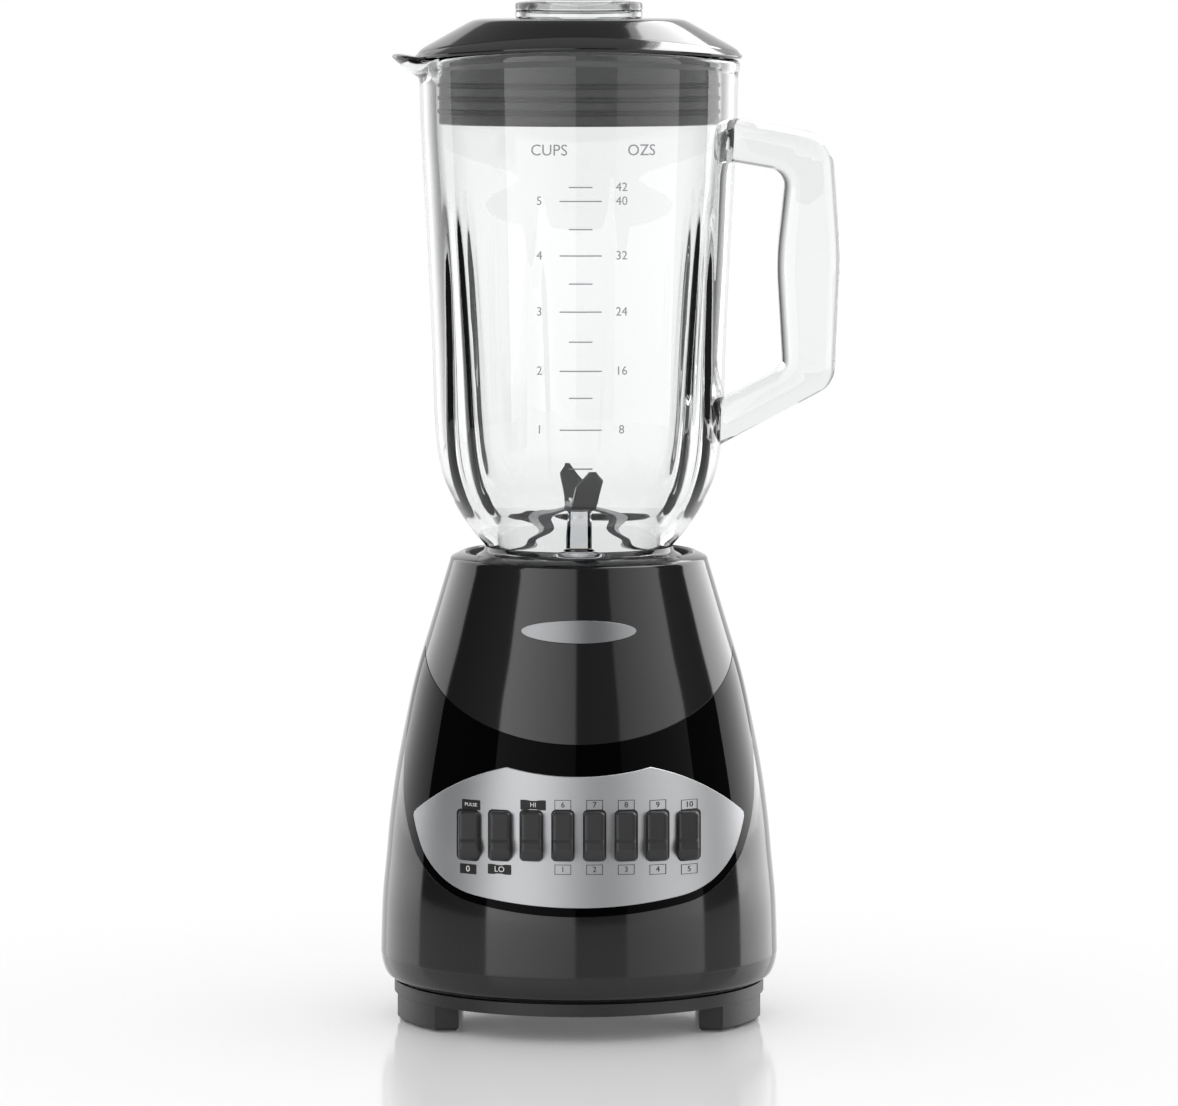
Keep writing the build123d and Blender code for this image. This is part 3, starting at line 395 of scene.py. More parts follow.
def sideArc(grow):
    # right-hand side of the fascia from its top horn to its lower corner
    f = fascia
    half = f["half"] + grow
    corner = (f["corner"][0] + grow, f["corner"][1] + grow)
    low = (f["lowCorner"][0] + 0.7 * grow, f["lowCorner"][1] - 0.7 * grow)

    def mid(end):
        dx, dz = half - end[0], end[1] - f["wideZ"]
        r = (dx * dx + dz * dz) / (2 * dx)
        a = math.asin(dz / r) / 2
        return half - r + r * math.cos(a), f["wideZ"] + r * math.sin(a)

    wide = (half, f["wideZ"])
    return throughThree(corner, mid(corner), wide, 24)[:-1] + throughThree(wide, mid(low), low, 20)


def eased(outline, corner, reach):
    # the outline with one corner drawn as a soft curve
    near = min(range(len(outline)), key=lambda i: math.dist(outline[i], corner))
    count = len(outline)
    back, ahead = 1, 1
    while math.dist(outline[(near - back) % count], corner) < reach:
        back += 1
    while math.dist(outline[(near + ahead) % count], corner) < reach:
        ahead += 1
    a, b = outline[(near - back) % count], outline[(near + ahead) % count]
    curve = [tuple((1 - t) ** 2 * p + 2 * t * (1 - t) * q + t * t * r for p, q, r in zip(a, corner, b))
             for t in (k / 10 for k in range(1, 10))]
    kept = [outline[(near + ahead + k) % count] for k in range(count - back - ahead + 1)]
    return kept + curve


def easedBoth(outline, corner):
    # the same on the right and on the left
    for spot in (corner, (-corner[0], corner[1])):
        outline = eased(outline, spot, fascia["ease"])
    return outline


def fasciaOutline():
    f = fascia
    right = sideArc(0)
    low = (0, f["lowZ"])
    bottom = throughThree(right[-1], low, (-right[-1][0], right[-1][1]), 40)[1:-1]
    left = [(-x, z) for x, z in reversed(right)]
    cx, cz = f["corner"]
    deep = cz - f["dipZ"]
    smile = [(cx * math.cos(math.radians(a)), cz - deep * math.sin(math.radians(a))) for a in range(177, 2, -3)]
    return easedBoth(right + bottom + left + smile, right[-1])


def panelOutline():
    f = fascia
    right = [p for p in sideArc(-f["panelMargin"]) if p[1] < f["sideZ"] - 2.5]
    low = (0, f["lowZ"] + f["panelMargin"])
    bottom = throughThree(right[-1], low, (-right[-1][0], right[-1][1]), 40)[1:-1]
    left = [(-x, z) for x, z in reversed(right)]
    apex = f["apex"]
    corner = [(right[0][0] - 0.2, right[0][1] + 1.6), (right[0][0] - 1.4, right[0][1] + 3.2)]
    crest = ((apex[0] + corner[-1][0]) / 2 + 1.2, (apex[1] + corner[-1][1]) / 2 + 2.6)
    rise = throughThree(corner[-1], crest, apex, 16)
    top = throughThree((-apex[0], apex[1]), (0, f["panelDipZ"]), apex, 24)
    up = rise[:-1] + [(apex[0] + 0.5, apex[1] - 0.1)]
    shoulder = corner[:-1] + up
    whole = right + bottom + left + [(-x, z) for x, z in shoulder] + top + list(reversed(shoulder))
    return easedBoth(whole, right[-1])

patch("frontFascia", fasciaOutline(), 0.22, 1.2, "mirrorAbs", ("front_fascia",), 2.0)
patch("controlPanel", panelOutline(), 0.62, 1.2, "brushedAluminium", ("control_panel",), 2.0)

badge = {"half": 23.0, "tall": 4.5, "z": 165.5, "proud": 0.8}
oval = [(badge["half"] * math.cos(math.radians(a)), badge["z"] + badge["tall"] * math.sin(math.radians(a)))
        for a in range(0, 360, 5)]
patch("blankBadge", oval, badge["proud"], 1.0, "satinAluminium", ("badge",), 1.5)
print("housing, fascia, panel and badge made")


# ---- keys and their labels ----
keys = {"count": 8, "pitch": 12.66, "wide": 8.5, "tall": 19.8, "midZ": 85.0, "sag": 1.5, "corner": 1.7,
        # (place from the top, 1, to the bottom, -1; millimetres proud)
        "profile": [(1.0, 3.5), (0.9, 4.0), (-0.12, 5.7), (-0.16, 6.3), (-0.2, 6.5), (-0.46, 7.5), (-0.54, 7.6),
                    (-0.6, 7.3), (-0.9, 5.0), (-1.0, 4.3)]}
keyNames = ["key_pulse_off", "key_low", "key_high", "key_speed_1_6", "key_speed_2_7", "key_speed_3_8",
            "key_speed_4_9", "key_speed_5_10"]


def keyPlace(i):
    x = (i - (keys["count"] - 1) / 2) * keys["pitch"]
    z = keys["midZ"] - keys["sag"] * (x / (keys["pitch"] * 3.5)) ** 2
    return x, onSkin(x, z)[1], z


def roundedBox(x, z, wide, tall, corner, steps=4):
    out = []
    for cx, cz, start in ((1, 1, 0), (-1, 1, 90), (-1, -1, 180), (1, -1, 270)):
        out += arcPoints((x + cx * (wide / 2 - corner), z + cz * (tall / 2 - corner)), corner, start, start + 90, steps)
    return out


def keyOutline(x, z, wide, tall, corner):
    # a rounded box with extra points along its long sides, always the same number
    arcs = roundedBox(x, z, wide, tall, corner, 5)
    out = []
    for n, extra in enumerate((3, 26, 3, 26)):
        arc = arcs[n * 6:n * 6 + 6]
        (x0, z0), (x1, z1) = arc[-1], arcs[(n * 6 + 6) % 24]
        out += arc + [(x0 + (x1 - x0) * k / (extra + 1), z0 + (z1 - z0) * k / (extra + 1)) for k in range(1, extra + 1)]
    return out


def keyProud(height):
    # how far the key stands out of the housing at a height above its middle
    line = keys["profile"]
    u = min(max(height / (keys["tall"] / 2), -1), 1)
    for (u0, d0), (u1, d1) in zip(line, line[1:]):
        if u0 >= u >= u1:
            return d0 + (d1 - d0) * (u0 - u) / (u0 - u1)
    return line[-1][1]


def buildKey(i, name):
    x, y, z = keyPlace(i)
    rings, points, faces = [(0.0, None), (0.0, 1.0), (0.12, 0.45), (0.4, 0.13), (0.8, 0.0)], [], []
    for shrink, sunk in rings:
        outline = keyOutline(x, z, keys["wide"] - 2 * shrink, keys["tall"] - 2 * shrink, keys["corner"] - shrink)
        points += [(px, y + 3.4 if sunk is None else y - keyProud(pz - z) + sunk, pz) for px, pz in outline]
    count = len(outline)
    faces = gridFaces(len(rings), count) + [tuple(range(count))]
    inner, step = [], 0.66
    for column in range(-4, 5):
        for line in range(-13, 14):
            inner.append((x + column * step, z + line * step))
    loop = [(k, (k + 1) % count) for k in range(count)]
    made = delaunay_2d_cdt([Vector(p) for p in outline + inner], loop, [], 1, 1e-6)
    start = len(points)
    points += [(p[0], y - keyProud(p[1] - z), p[1]) for p in made[0]]
    faces += [tuple(start + v for v in face) for face in made[2]]
    piece = pieceFrom(f"key{i + 1}", points, faces, "satinAbs", name, (name,), 0)
    work = bmesh.new()
    work.from_mesh(piece.data)
    bmesh.ops.remove_doubles(work, verts=work.verts, dist=1e-6)
    bmesh.ops.recalc_face_normals(work, faces=work.faces)
    work.to_mesh(piece.data)
    work.free()


for i, name in enumerate(keyNames):
    buildKey(i, name)
    kx, ky, kz = keyPlace(i)
    patch(f"keySlot{i + 1}", keyOutline(kx, kz, keys["wide"] + 0.8, keys["tall"] + 0.8, 1.9), 0.76, 0.3, "blackInk",
          step=3.0, edge=0)


def lettering(words, size):
    # flat letters as a mesh in the xy plane, centred
    curve = bpy.data.curves.new("letters", "FONT")
    curve.body = words
    curve.size = size * mm
    curve.align_x = "CENTER"
    curve.align_y = "CENTER"
    curve.resolution_u = 3
    holder = bpy.data.objects.new("letters", curve)
    bpy.context.collection.objects.link(holder)
    graph = bpy.context.evaluated_depsgraph_get()
    mesh = bpy.data.meshes.new_from_object(holder.evaluated_get(graph))
    bpy.data.objects.remove(holder)
    return mesh


def frameOutline(x, z, wide, tall, line):
    # four thin bars as faces in x, z
    w, t = wide / 2, tall / 2
    bars = [(x - w, x + w, z + t - line, z + t), (x - w, x + w, z - t, z - t + line),
            (x - w, x - w + line, z - t + line, z + t - line), (x + w - line, x + w, z - t + line, z + t - line)]
    points, faces = [], []
    for x0, x1, z0, z1 in bars:
        n = len(points)
        points += [(x0, z0), (x1, z0), (x1, z1), (x0, z1)]
        faces.append((n, n + 1, n + 2, n + 3))
    return points, faces


def skinLetters(name, marks, finish, bend, body, thick=0.06):
    # letters and bars joined in one piece; marks = (mesh or (points, faces), x, z), bend(x, z) puts them on a surface
    points, faces = [], []
    for what, x, z in marks:
        n = len(points)
        if isinstance(what, tuple):
            flat, around = what
            points += [(p[0] + x, p[1] + z) for p in flat]
            faces += [tuple(n + v for v in f) for f in around]
        else:
            points += [(v.co.x / mm + x, v.co.y / mm + z) for v in what.vertices]
            faces += [tuple(n + v for v in f.vertices) for f in what.polygons]
    mesh = bpy.data.meshes.new(name)
    mesh.from_pydata([Vector(bend(*p)) * mm for p in points], [], faces)
    work = bmesh.new()
    work.from_mesh(mesh)
    bmesh.ops.remove_doubles(work, verts=work.verts, dist=1e-6)
    bmesh.ops.recalc_face_normals(work, faces=work.faces)
    for f in work.faces:
        if f.normal.y > 0:
            f.normal_flip()
    work.to_mesh(mesh)
    work.free()
    mesh.materials.append(finishes[finish])
    piece = bpy.data.objects.new(name, mesh)
    bpy.context.collection.objects.link(piece)
    solid = piece.modifiers.new("ink", "SOLIDIFY")
    solid.thickness = thick * mm
    solid.offset = 1.0
    applied(piece)
    settle(piece, body)
    return piece


def buildLabels():
    box = {"wide": 6.6, "tall": 4.0, "below": 13.6, "above": 12.2, "line": 0.22}
    dark, pale = [], []
    for i in range(keys["count"]):
        x, _, z = keyPlace(i)
        low, high = z - box["below"], z + box["above"]
        if i >= 3:
            dark.append((frameOutline(x, low, box["wide"], box["tall"], box["line"]), 0, 0))
            dark.append((frameOutline(x, high, box["wide"], box["tall"], box["line"]), 0, 0))
            dark.append((lettering(str(i - 2), 3.2), x, low))
            dark.append((lettering(str(i + 3), 3.2), x, high))
    x0, _, z0 = keyPlace(0)
    x1, _, z1 = keyPlace(1)
    x2, _, z2 = keyPlace(2)
    filled = [(x0, z0 - box["below"], 6.6, "0", 3.4), (x1, z1 - box["below"], 9.4, "LO", 3.2),
              (x0 + 1.2, z0 + box["above"], 7.4, "PULSE", 1.9), (x2 + 0.8, z2 + box["above"], 10.2, "HI", 2.6)]
    for n, (x, z, wide, words, size) in enumerate(filled):
        patch(f"labelGround{n + 1}", roundedBox(x, z, wide, box["tall"], 0.3, 2), 0.72, 0.2, "blackInk",
              step=2.0, edge=0)
        pale.append((lettering(words, size), x, z))
    skinLetters("darkLabels", dark, "blackInk", lambda x, z: onSkin(x, z, 0.7), "base")
    skinLetters("paleLabels", pale, "whiteInk", lambda x, z: onSkin(x, z, 0.8), "base")


buildLabels()
print("keys and labels made")


# ---- glass jar ----
jar = {
    "around": 320, "neckRadius": 36.6, "neckBore": 31.4, "neckZ": 172.6, "flangeRadius": 44.8, "flangeLowZ": 184.0,
    "waistRadius": 38.6, "rimZ": 399.0, "rimDrop": 3.9, "beadRadius": 66.0,
    "flutes": (-57, -16, 57, 123, 164, -123), "fluteTopZ": 346.0, "fluteLowZ": 204.0, "fluteDepth": 2.4,
    "lipHalfAngle": 24.0,
}
outerLine = [(jar["waistRadius"], 195.6), (43.6, 201.3), (50.5, 211.6), (56.5, 225.6), (59.2, 243.0), (60.4, 275.0),
             (61.6, 302.0), (63.3, 338.0), (64.9, 369.0), (65.4, 392.8)]
innerLine = [(jar["neckBore"], 197.0), (38.2, 207.6), (45.4, 217.5), (50.4, 229.0), (52.7, 246.0), (53.9, 275.0),
             (55.1, 302.0), (56.8, 338.0), (58.4, 366.0), (58.8, 396.6)]


def fluteAt(angle, z):
    # 0 to 1: how far into a flute this place is, its half width growing downward
    t = min(max((jar["fluteTopZ"] - z) / (jar["fluteTopZ"] - jar["fluteLowZ"]), 0), 1)
    half = 3.0 + 9.5 * t
    best = 0.0
    for f in jar["flutes"]:
        away = abs((math.degrees(angle) - (f - 90) + 180) % 360 - 180)
        if away < half:
            best = max(best, math.cos(math.pi / 2 * away / half) ** 2)
    depth = ramp(jar["fluteTopZ"] - z, 0, 45) * ramp(z, jar["fluteLowZ"], jar["fluteLowZ"] + 26)
    return best * depth * (0.35 + 0.65 * t)


def jarShape(inner):
    def shape(r, a, z):
        if 204 < z < 347:
            r -= jar["fluteDepth"] * fluteAt(a, z) * (1.1 if inner else 1.0)
        away = abs(math.degrees(a) - 180)
        lip = math.cos(math.pi / 2 * min(away / jar["lipHalfAngle"], 1)) ** 1.5
        start, full, reach = (391.2, 399.4, 13.4) if inner else (390.2, 398.2, 11.3)
        grow = min(max((z - start) / (full - start), 0), 1)
        r += lip * reach * grow
        x, y = r * math.cos(a), r * math.sin(a)
        drop = jar["rimDrop"] * min(abs(x) / 66, 1.0) ** 2 * ramp(z, 376, 397)
        return (x, y, z - drop + 2.2 * lip * grow)
    return shape


def buildJar():
    j = jar
    inner = [(j["neckBore"], j["neckZ"] + 0.8), (j["neckBore"], 185.0)] + smoothLine(innerLine, 9)
    rim = [(59.1, 398.0), (60.0, 398.8), (61.4, j["rimZ"] + 0.1), (63.6, j["rimZ"] + 0.1), (65.0, 398.7), (65.8, 397.8),
           (j["beadRadius"], 396.6), (65.95, 395.2), (65.6, 394.0)]
    outer = list(reversed(smoothLine(outerLine, 10)))
    foot = smoothLine([(j["waistRadius"], 195.0), (39.6, 193.0), (42.6, 191.4), (44.4, 189.6),
                       (j["flangeRadius"], 187.0), (44.2, 184.9), (42.8, j["flangeLowZ"])], 4)
    neck = [(j["neckRadius"] + 0.4, j["flangeLowZ"]), (j["neckRadius"], j["flangeLowZ"] - 0.5),
            (j["neckRadius"], j["neckZ"] + 0.6), (j["neckRadius"] - 0.6, j["neckZ"]), (j["neckBore"] + 0.8, j["neckZ"])]
    parts = [(p, True) for p in inner] + [(p, False) for p in rim + outer + foot + neck]
    around = j["around"]
    points = []
    for (r, z), isInner in parts:
        shape = jarShape(isInner)
        points += [shape(r, 2 * math.pi * k / around, z) for k in range(around)]
    faces = gridFaces(len(parts), around, True)
    mesh = bpy.data.meshes.new("glassJar")
    mesh.from_pydata([Vector(p) * mm for p in points], [], faces)
    work = bmesh.new()
    work.from_mesh(mesh)
    bmesh.ops.recalc_face_normals(work, faces=work.faces)
    work.to_mesh(mesh)
    work.free()
    mesh.materials.append(finishes["pressedGlass"])
    piece = bpy.data.objects.new("glassJar", mesh)
    bpy.context.collection.objects.link(piece)
    grip = buildHandle()
    join = piece.modifiers.new("handle", "BOOLEAN")
    join.object = grip
    join.operation = "UNION"
    join.solver = "EXACT"
    applied(piece)
    bpy.data.objects.remove(grip)
    piece.data.polygons.foreach_set("use_smooth", [True] * len(piece.data.polygons))
    piece.data.set_sharp_from_angle(angle=math.radians(50))
    settle(piece, "jar", ("glass_jar",))
    print("glass jar faces:", len(piece.data.polygons))


def roundedOutline(corners, steps=8):
    # corners = (x, z, radius); an outline with its corners rounded
    out = []
    count = len(corners)
    for i, (x, z, r) in enumerate(corners):
        if not r:
            out.append((x, z))
            continue
        here = Vector((x, z))
        before = Vector(corners[i - 1][:2]) - here
        after = Vector(corners[(i + 1) % count][:2]) - here
        before.normalize()
        after.normalize()
        half = before.angle(after) / 2
        back = r / math.tan(half)
        centre = here + (before + after).normalized() * (r / math.sin(half))
        start, end = here + before * back - centre, here + after * back - centre
        sweep = start.angle_signed(end)
        for s in range(steps + 1):
            turned = Matrix.Rotation(-sweep * s / steps, 2) @ start
            out.append(tuple(centre + turned))
    return out


handle = {"half": 13.5, "bevel": 5.2,
          "corners": [(60.6, 371.8, 0), (103.6, 364.0, 14), (107.1, 315.0, 160), (104.8, 262.2, 12), (56.0, 236.4, 0),
                      (56.0, 254.6, 0), (83.6, 268.6, 7), (80.8, 313.0, 110), (84.8, 349.6, 7), (60.6, 353.8, 0)]}


def buildHandle():
    outline = roundedOutline(handle["corners"])
    count = len(outline)
    points = [(x, -handle["half"], z) for x, z in outline] + [(x, handle["half"], z) for x, z in outline]
    faces = [tuple(range(count)), tuple(reversed(range(count, 2 * count)))]
    faces += [(k, k + count, (k + 1) % count + count, (k + 1) % count) for k in range(count)]
    mesh = bpy.data.meshes.new("grip")
    mesh.from_pydata([Vector(p) * mm for p in points], [], faces)
    work = bmesh.new()
    work.from_mesh(mesh)
    bmesh.ops.recalc_face_normals(work, faces=work.faces)
    rims = [e for e in work.edges if e.calc_face_angle(0) > 1.3 and abs(e.verts[0].co.y - e.verts[1].co.y) < 1e-6]
    bmesh.ops.bevel(work, geom=rims, offset=handle["bevel"] * mm, segments=5, profile=0.5, affect="EDGES",
                    clamp_overlap=True)
    bmesh.ops.triangulate(work, faces=[f for f in work.faces if len(f.verts) > 4])
    work.to_mesh(mesh)
    work.free()
    mesh.materials.append(finishes["pressedGlass"])
    grip = bpy.data.objects.new("grip", mesh)
    bpy.context.collection.objects.link(grip)
    return grip


buildJar()


def onJar(x, z):
    # a point just outside the glass at the front
    for (r0, z0), (r1, z1) in zip(outerLine, outerLine[1:]):
        if z0 <= z <= z1:
            r = r0 + (r1 - r0) * (z - z0) / (z1 - z0)
    r += 0.05
    a = x / r
    return (r * math.sin(a), -r * math.cos(a), z)


def barFace(wide, tall):
    # a bar in short lengths, so that it bends round the glass
    points, faces, steps = [], [], 6
    for k in range(steps + 1):
        x = -wide / 2 + wide * k / steps
        points += [(x, -tall / 2), (x, tall / 2)]
    for k in range(steps):
        faces.append((2 * k, 2 * k + 2, 2 * k + 3, 2 * k + 1))
    return points, faces


def buildMarks():
    marks = []
    for n, z in zip((5, 4, 3, 2, 1), (339.2, 317.3, 294.7, 270.8, 247.0)):
        marks.append((lettering(str(n), 5.0), -16.0, z))
    for n, z in zip((42, 40, 32, 24, 16, 8), (344.8, 339.2, 317.3, 294.7, 270.8, 247.0)):
        marks.append((lettering(str(n), 5.0), 17.5, z))
    marks.append((lettering("CUPS", 6.4), -12.0, 359.5))
    marks.append((lettering("OZS", 6.4), 26.0, 359.5))
    for z, wide in ((339.2, 17), (317.3, 17), (294.7, 17), (270.8, 17), (247.0, 17), (344.8, 9.5), (327.9, 9.5),
                    (306.0, 9.5), (282.6, 9.5), (259.9, 9.5), (231.2, 9.5)):
        marks.append((barFace(wide, 0.5), 0.8, z))
    skinLetters("graduations", marks, "firedGreyInk", onJar, "jar", 0.12)


buildMarks()
print("jar, handle and graduations made")


# ---- lid, seals and cap ----
lid = {"around": 256, "radius": 66.9, "front": 55.0, "rimZ": 399.15, "plugRadius": 57.4, "plugLowZ": 369.0,
       "plugWall": 2.6, "hole": 24.9, "topZ": 411.9, "sealZ": (385.0, 379.6, 374.3)}
lidCrown = [(25.2, 411.9), (34.0, 411.9), (40.5, 411.7), (43.4, 411.1), (45.4, 410.2), (51.0, 407.1), (57.0, 403.7),
            (62.6, 400.6), (65.0, 399.0), (66.4, 397.0)]


def crownZ(r):
    for (r0, z0), (r1, z1) in zip(lidCrown, lidCrown[1:]):
        if r0 <= r <= r1:
            return z0 + (z1 - z0) * (r - r0) / (r1 - r0)
    return lidCrown[0][1] if r < lidCrown[0][0] else lidCrown[-1][1]


def creaseRadius(a):
    wide, deep = lid["radius"] - 0.1, lid["front"]
    return wide * deep / math.hypot(deep * math.cos(a), wide * math.sin(a))


def buildLid():
    l = lid
    rows = []

    def arch(x):
        return jar["rimDrop"] * min(abs(x) / 66, 1) ** 2

    def row(maker):
        rows.append([maker(2 * math.pi * k / l["around"]) for k in range(l["around"])])

    def flatRing(r, z):
        row(lambda a: (r * math.cos(a), r * math.sin(a), z))

    flatRing(l["hole"], 400.0)
    flatRing(l["hole"], l["topZ"] - 0.4)
    flatRing(l["hole"] + 0.4, l["topZ"])
    for r in (29, 34, 38, 40.5, 42.2, 43.4, 44.4, 45.4):
        row(lambda a, r=r: (r * math.cos(a), r * math.sin(a), crownZ(r)))
    for share in (0.2, 0.4, 0.6, 0.8, 0.92, 0.975):
        def onCrown(a, share=share):
            r = 45.4 + (creaseRadius(a) - 45.4) * share
            return (r * math.cos(a), r * math.sin(a), crownZ(r))
        row(onCrown)

    def skirt(share, lift):
        def at(a):
            r0 = creaseRadius(a)
            edge = l["radius"] * math.cos(a)
            low = l["rimZ"] + 1.5 - arch(edge)
            r = r0 + (l["radius"] - r0) * share
            z = crownZ(r0) + (low - crownZ(r0)) * share + lift
            return (r * math.cos(a), r * math.sin(a), z)
        return at

    for share, lift in ((0.02, -0.12), (0.06, -0.1), (0.3, 0), (0.6, 0), (0.9, 0), (1.0, -0.1)):
        row(skirt(share, lift))
    row(lambda a: (66.95 * math.cos(a), 66.95 * math.sin(a), l["rimZ"] + 0.9 - arch(66.9 * math.cos(a))))
    row(lambda a: (66.6 * math.cos(a), 66.6 * math.sin(a), l["rimZ"] + 0.2 - arch(66.6 * math.cos(a))))
    row(lambda a: (58.0 * math.cos(a), 58.0 * math.sin(a), l["rimZ"] + 0.2 - arch(58 * math.cos(a))))
    flatRing(l["plugRadius"], 393.5)
    for z in l["sealZ"]:
        flatRing(l["plugRadius"], z + 1.2)
        flatRing(l["plugRadius"] - 1.0, z + 1.1)
        flatRing(l["plugRadius"] - 1.0, z - 1.1)
        flatRing(l["plugRadius"], z - 1.2)
    flatRing(l["plugRadius"], l["plugLowZ"] + 0.5)
    flatRing(l["plugRadius"] - 0.5, l["plugLowZ"])
    flatRing(l["plugRadius"] - l["plugWall"], l["plugLowZ"])
    flatRing(l["plugRadius"] - l["plugWall"], 398.0)
    flatRing(46.0, 407.0)
    flatRing(40.0, 408.9)
    flatRing(l["hole"] + 2.6, 408.9)
    flatRing(l["hole"] + 2.6, 400.0)
    points = [p for r in rows for p in r]
    piece = pieceFrom("lid", points, gridFaces(len(rows), l["around"], True), "polishedAbs", "lid",
                      ("lid",), 24)
    work = bmesh.new()
    work.from_mesh(piece.data)
    bmesh.ops.recalc_face_normals(work, faces=work.faces)
    work.to_mesh(piece.data)
    work.free()


buildLid()


def ringTree():
    # rings stacked down the plug: count, spacing, ring radius and bead radius are inputs
    tree = bpy.data.node_groups.new("stacked seal rings", "GeometryNodeTree")
    for label, kind in (("Count", "NodeSocketInt"), ("Spacing", "NodeSocketFloat"), ("Ring Radius", "NodeSocketFloat"),
                        ("Bead Radius", "NodeSocketFloat"), ("Top Z", "NodeSocketFloat")):
        tree.interface.new_socket(label, in_out="INPUT", socket_type=kind)
    tree.interface.new_socket("Geometry", in_out="OUTPUT", socket_type="NodeSocketGeometry")
    given = addNode(tree, "NodeGroupInput")
    start = addNode(tree, "ShaderNodeCombineXYZ", {}, {}, {"Z": given.outputs["Top Z"]})
    step = addNode(tree, "ShaderNodeMath", {"operation": "MULTIPLY"}, {1: -1.0}, {0: given.outputs["Spacing"]})
    offset = addNode(tree, "ShaderNodeCombineXYZ", {}, {}, {"Z": step.outputs[0]})
    line = addNode(tree, "GeometryNodeMeshLine", {"mode": "OFFSET"}, {},
                   {"Count": given.outputs["Count"], "Start Location": start.outputs[0], "Offset": offset.outputs[0]})
    loop = addNode(tree, "GeometryNodeCurvePrimitiveCircle", {}, {"Resolution": 160},
                   {"Radius": given.outputs["Ring Radius"]})
    bead = addNode(tree, "GeometryNodeCurvePrimitiveCircle", {}, {"Resolution": 12},
                   {"Radius": given.outputs["Bead Radius"]})
    tube = addNode(tree, "GeometryNodeCurveToMesh", {}, {},
                   {"Curve": loop.outputs["Curve"], "Profile Curve": bead.outputs["Curve"]})
    copies = addNode(tree, "GeometryNodeInstanceOnPoints", {}, {},
                     {"Points": line.outputs["Mesh"], "Instance": tube.outputs["Mesh"]})
    real = addNode(tree, "GeometryNodeRealizeInstances", {}, {}, {"Geometry": copies.outputs["Instances"]})
    smooth = addNode(tree, "GeometryNodeSetShadeSmooth", {}, {}, {"Geometry": real.outputs["Geometry"]})
    coat = addNode(tree, "GeometryNodeSetMaterial", {}, {"Material": finishes["nitrileRubber"]},
                   {"Geometry": smooth.outputs["Geometry"]})
    addNode(tree, "NodeGroupOutput", {}, {}, {"Geometry": coat.outputs["Geometry"]})
    return tree


def nodesPiece(name, tree, values, body, replaced=()):
    # a piece made by a Geometry Nodes tree with its inputs set, then made a plain mesh
    piece = bpy.data.objects.new(name, bpy.data.meshes.new(name))
    bpy.context.collection.objects.link(piece)
    maker = piece.modifiers.new("maker", "NODES")
    maker.node_group = tree
    for item in tree.interface.items_tree:
        if item.in_out == "INPUT" and item.name in values:
            maker[item.identifier] = values[item.name]
    applied(piece)
    settle(piece, body, replaced)
    return piece


seals = {"Count": 3, "Spacing": 5.35 * mm, "Ring Radius": 57.0 * mm, "Bead Radius": 1.05 * mm, "Top Z": 385.0 * mm}
nodesPiece("sealRings", ringTree(), seals, "lid", ("lid_seal",))


def buildCap():
    cap = {"radius": 26.1, "lowZ": 412.1, "neck": 24.2, "top": 420.0, "crown": 2.2, "cupZ": 396.0}
    wide, low, top, cup = cap["radius"], cap["lowZ"], cap["top"], cap["cupZ"]
    dome = [(wide * math.cos(math.radians(a)), top - cap["crown"] + cap["crown"] * math.sin(math.radians(a)))
            for a in range(8, 90, 6)]
    inside = [(0.01, top - 2.6), (20.4, top - 2.8), (21.8, top - 4.4), (22.0, 412.0), (21.9, cup + 0.6), (22.4, cup)]
    outside = [(23.4, cup), (23.9, cup + 0.6), (cap["neck"], low - 0.3), (cap["neck"] + 0.3, low), (25.6, low),
               (wide, low + 0.5), (wide, 414.6), (25.7, 415.0), (wide, 415.4), (wide, top - 2.6)]
    outline = inside + outside + dome + [(0.01, top)]
    piece = turnedPiece("fillerCap", outline, "clearSan", "cap", ("filler_cap",), 128, closed=False,
                        sharp=30)
    work = bmesh.new()
    work.from_mesh(piece.data)
    bmesh.ops.remove_doubles(work, verts=work.verts, dist=2.2e-5)
    bmesh.ops.recalc_face_normals(work, faces=work.faces)
    work.to_mesh(piece.data)
    work.free()


buildCap()
print("lid, seals and cap made")

# ---- stage, light and camera ----
studio = {"cameraX": 0.00414, "distance": 2.67, "height": 0.434, "aimZ": 0.192, "lens": 198.6,
          "cardRadius": 1.7, "cardLow": -0.3, "cardTop": 1.62}


def cardMaterial():
    # a plain lamp cloth: its strength is stored on each card's points
    material = bpy.data.materials.new("studio card")
    material.use_nodes = True
    tree = material.node_tree
    tree.nodes.clear()
    level = addNode(tree, "ShaderNodeAttribute", {"attribute_name": "level"})
    glow = addNode(tree, "ShaderNodeEmission", {}, {"Color": (1, 1, 1, 1)}, {"Strength": level.outputs["Fac"]})
    addNode(tree, "ShaderNodeOutputMaterial", {}, {}, {"Surface": glow.outputs["Emission"]})
    return material


cardCloth = cardMaterial()


def addCard(name, points, faces, levels, forGlass):
    # a card that only shows in reflections, or only through glass
    mesh = bpy.data.meshes.new(name)
    mesh.from_pydata(points, [], faces)
    mesh.materials.append(cardCloth)
    mesh.attributes.new("level", "FLOAT", "POINT").data.foreach_set("value", levels)
    card = bpy.data.objects.new(name, mesh)
    bpy.context.collection.objects.link(card)
    card.visible_camera = card.visible_diffuse = card.visible_shadow = card.visible_volume_scatter = False
    card.visible_glossy = not forGlass
    card.visible_transmission = forGlass


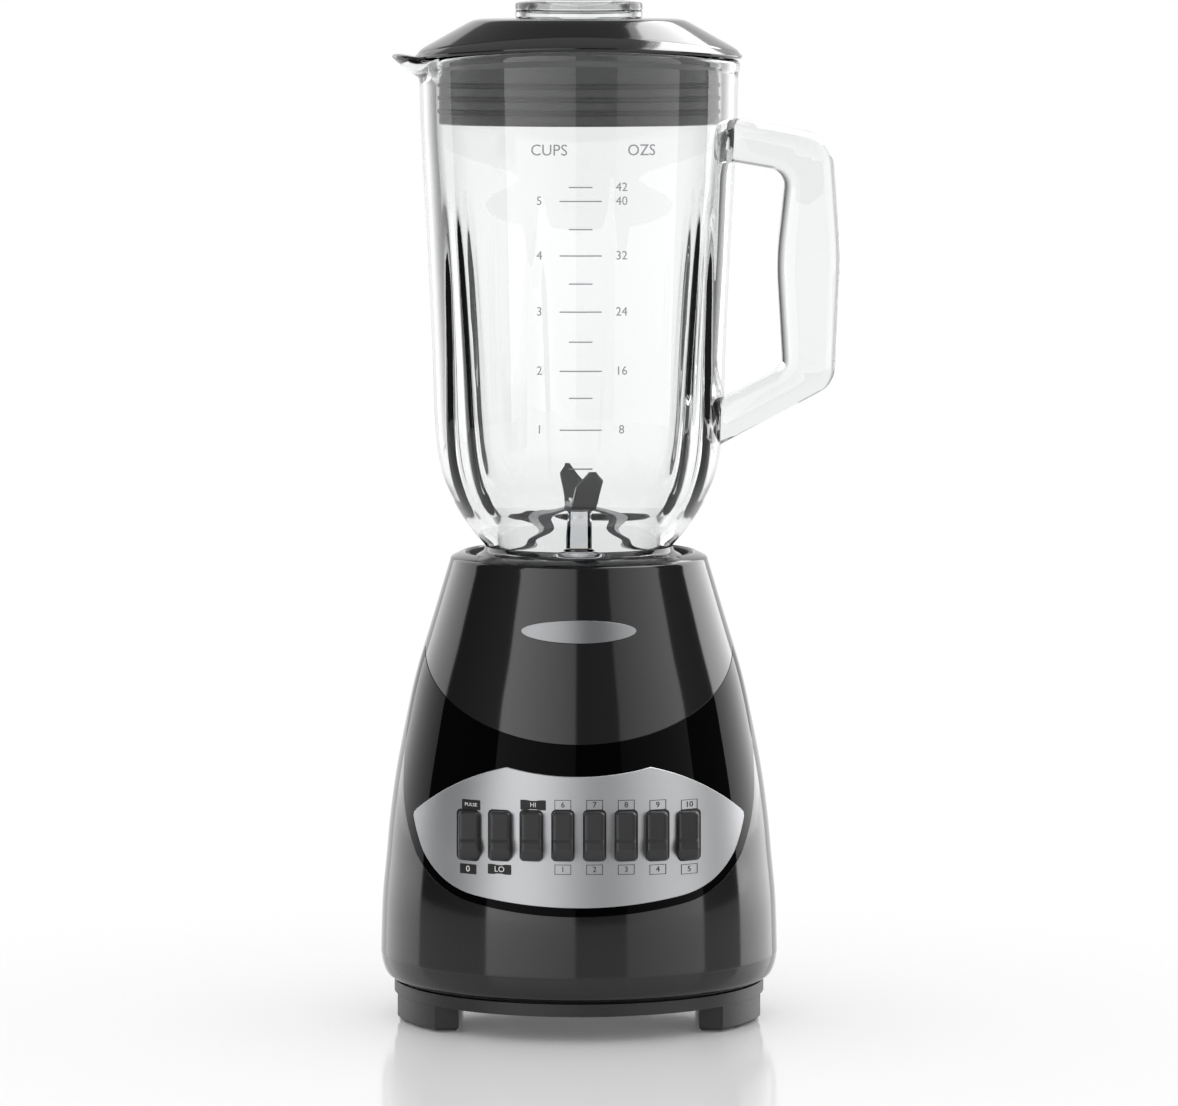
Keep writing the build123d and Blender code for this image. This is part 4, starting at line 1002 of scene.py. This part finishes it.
def roundCard(name, start, end, levelStart, levelEnd, forGlass=False):
    # an upright curved card round the object; angles are from the front, toward +X
    r, low, top = studio["cardRadius"], studio["cardLow"], studio["cardTop"]
    steps = 16
    points, levels = [], []
    for k in range(steps + 1):
        a = math.radians(start + (end - start) * k / steps)
        points += [(r * math.sin(a), -r * math.cos(a), low), (r * math.sin(a), -r * math.cos(a), top)]
        level = levelStart + (levelEnd - levelStart) * k / steps
        if forGlass:   # fades to the white of the room at both sides
            level = 1 - (1 - level) * math.sin(math.pi * k / steps)
        levels += [level] * 2
    addCard(name, points, [(2 * k, 2 * k + 2, 2 * k + 3, 2 * k + 1) for k in range(steps)], levels, forGlass)


def flatCard(name, x0, x1, y0, y1, level, forGlass=False):
    z = studio["cardTop"]
    addCard(name, [(x0, y0, z), (x1, y0, z), (x1, y1, z), (x0, y1, z)], [(0, 1, 2, 3)], [level] * 4, forGlass)


for card in (("leftEdgeCard", -150, -104, 2.2, 1.6), ("leftDarkCard", -104, -54, 0.1, 0.3),
             ("leftGreyCard", -54, -2, 2.5, 1.2), ("middleDarkCard", -2, 27, 0.22, 0.28),
             ("rightGreyCard", 27, 76, 0.9, 2.0), ("rightDarkCard", 76, 106, 0.3, 0.15),
             ("rightEdgeCard", 106, 150, 3.4, 3.4), ("leftFlag", -160, -108, 0.1, 0.1, True),
             ("rightFlag", 108, 160, 0.1, 0.1, True)):
    roundCard(*card)
flatCard("ceilingDarkCard", -2.4, 0.36, -2.4, 2.4, 0.25)
flatCard("ceilingBrightCard", 0.3, 2.4, -0.6, 2.4, 5.2)
flatCard("ceilingFlag", -2.4, 2.4, -2.4, 2.4, 0.45, True)


def buildStage():
    floorMaterial = bpy.data.materials.new("white gloss floor")
    floorMaterial.use_nodes = True
    shader = floorMaterial.node_tree.nodes["Principled BSDF"]
    for key, value in (("Base Color", (0.9, 0.9, 0.9, 1)), ("Roughness", 0.12), ("IOR", 1.28),
                       ("Emission Color", (1, 1, 1, 1)), ("Emission Strength", 0.08)):
        shader.inputs[key].default_value = value
    mesh = bpy.data.meshes.new("floor")
    mesh.from_pydata([(-6, -6, 0), (6, -6, 0), (6, 8, 0), (-6, 8, 0)], [], [(0, 1, 2, 3)])
    mesh.materials.append(floorMaterial)
    floor = bpy.data.objects.new("floor", mesh)
    bpy.context.collection.objects.link(floor)
    world = bpy.data.worlds.new("white studio")
    world.use_nodes = True
    world.node_tree.nodes["Background"].inputs["Color"].default_value = (1, 1, 1, 1)
    world.node_tree.nodes["Background"].inputs["Strength"].default_value = 1.0
    bpy.context.scene.world = world
    bpy.context.scene.view_settings.view_transform = "Standard"
    camera = bpy.data.objects.new("camera", bpy.data.cameras.new("camera"))
    bpy.context.collection.objects.link(camera)
    camera.data.lens = studio["lens"]
    camera.data.sensor_width = 36
    camera.data.clip_end = 100
    place = Vector((studio["cameraX"], -studio["distance"], studio["height"]))
    aim = Vector((studio["cameraX"], 0, studio["aimZ"]))
    camera.location = place
    camera.rotation_euler = (aim - place).to_track_quat("-Z", "Y").to_euler()
    bpy.context.scene.camera = camera


buildStage()
print("stage, cards and camera made")
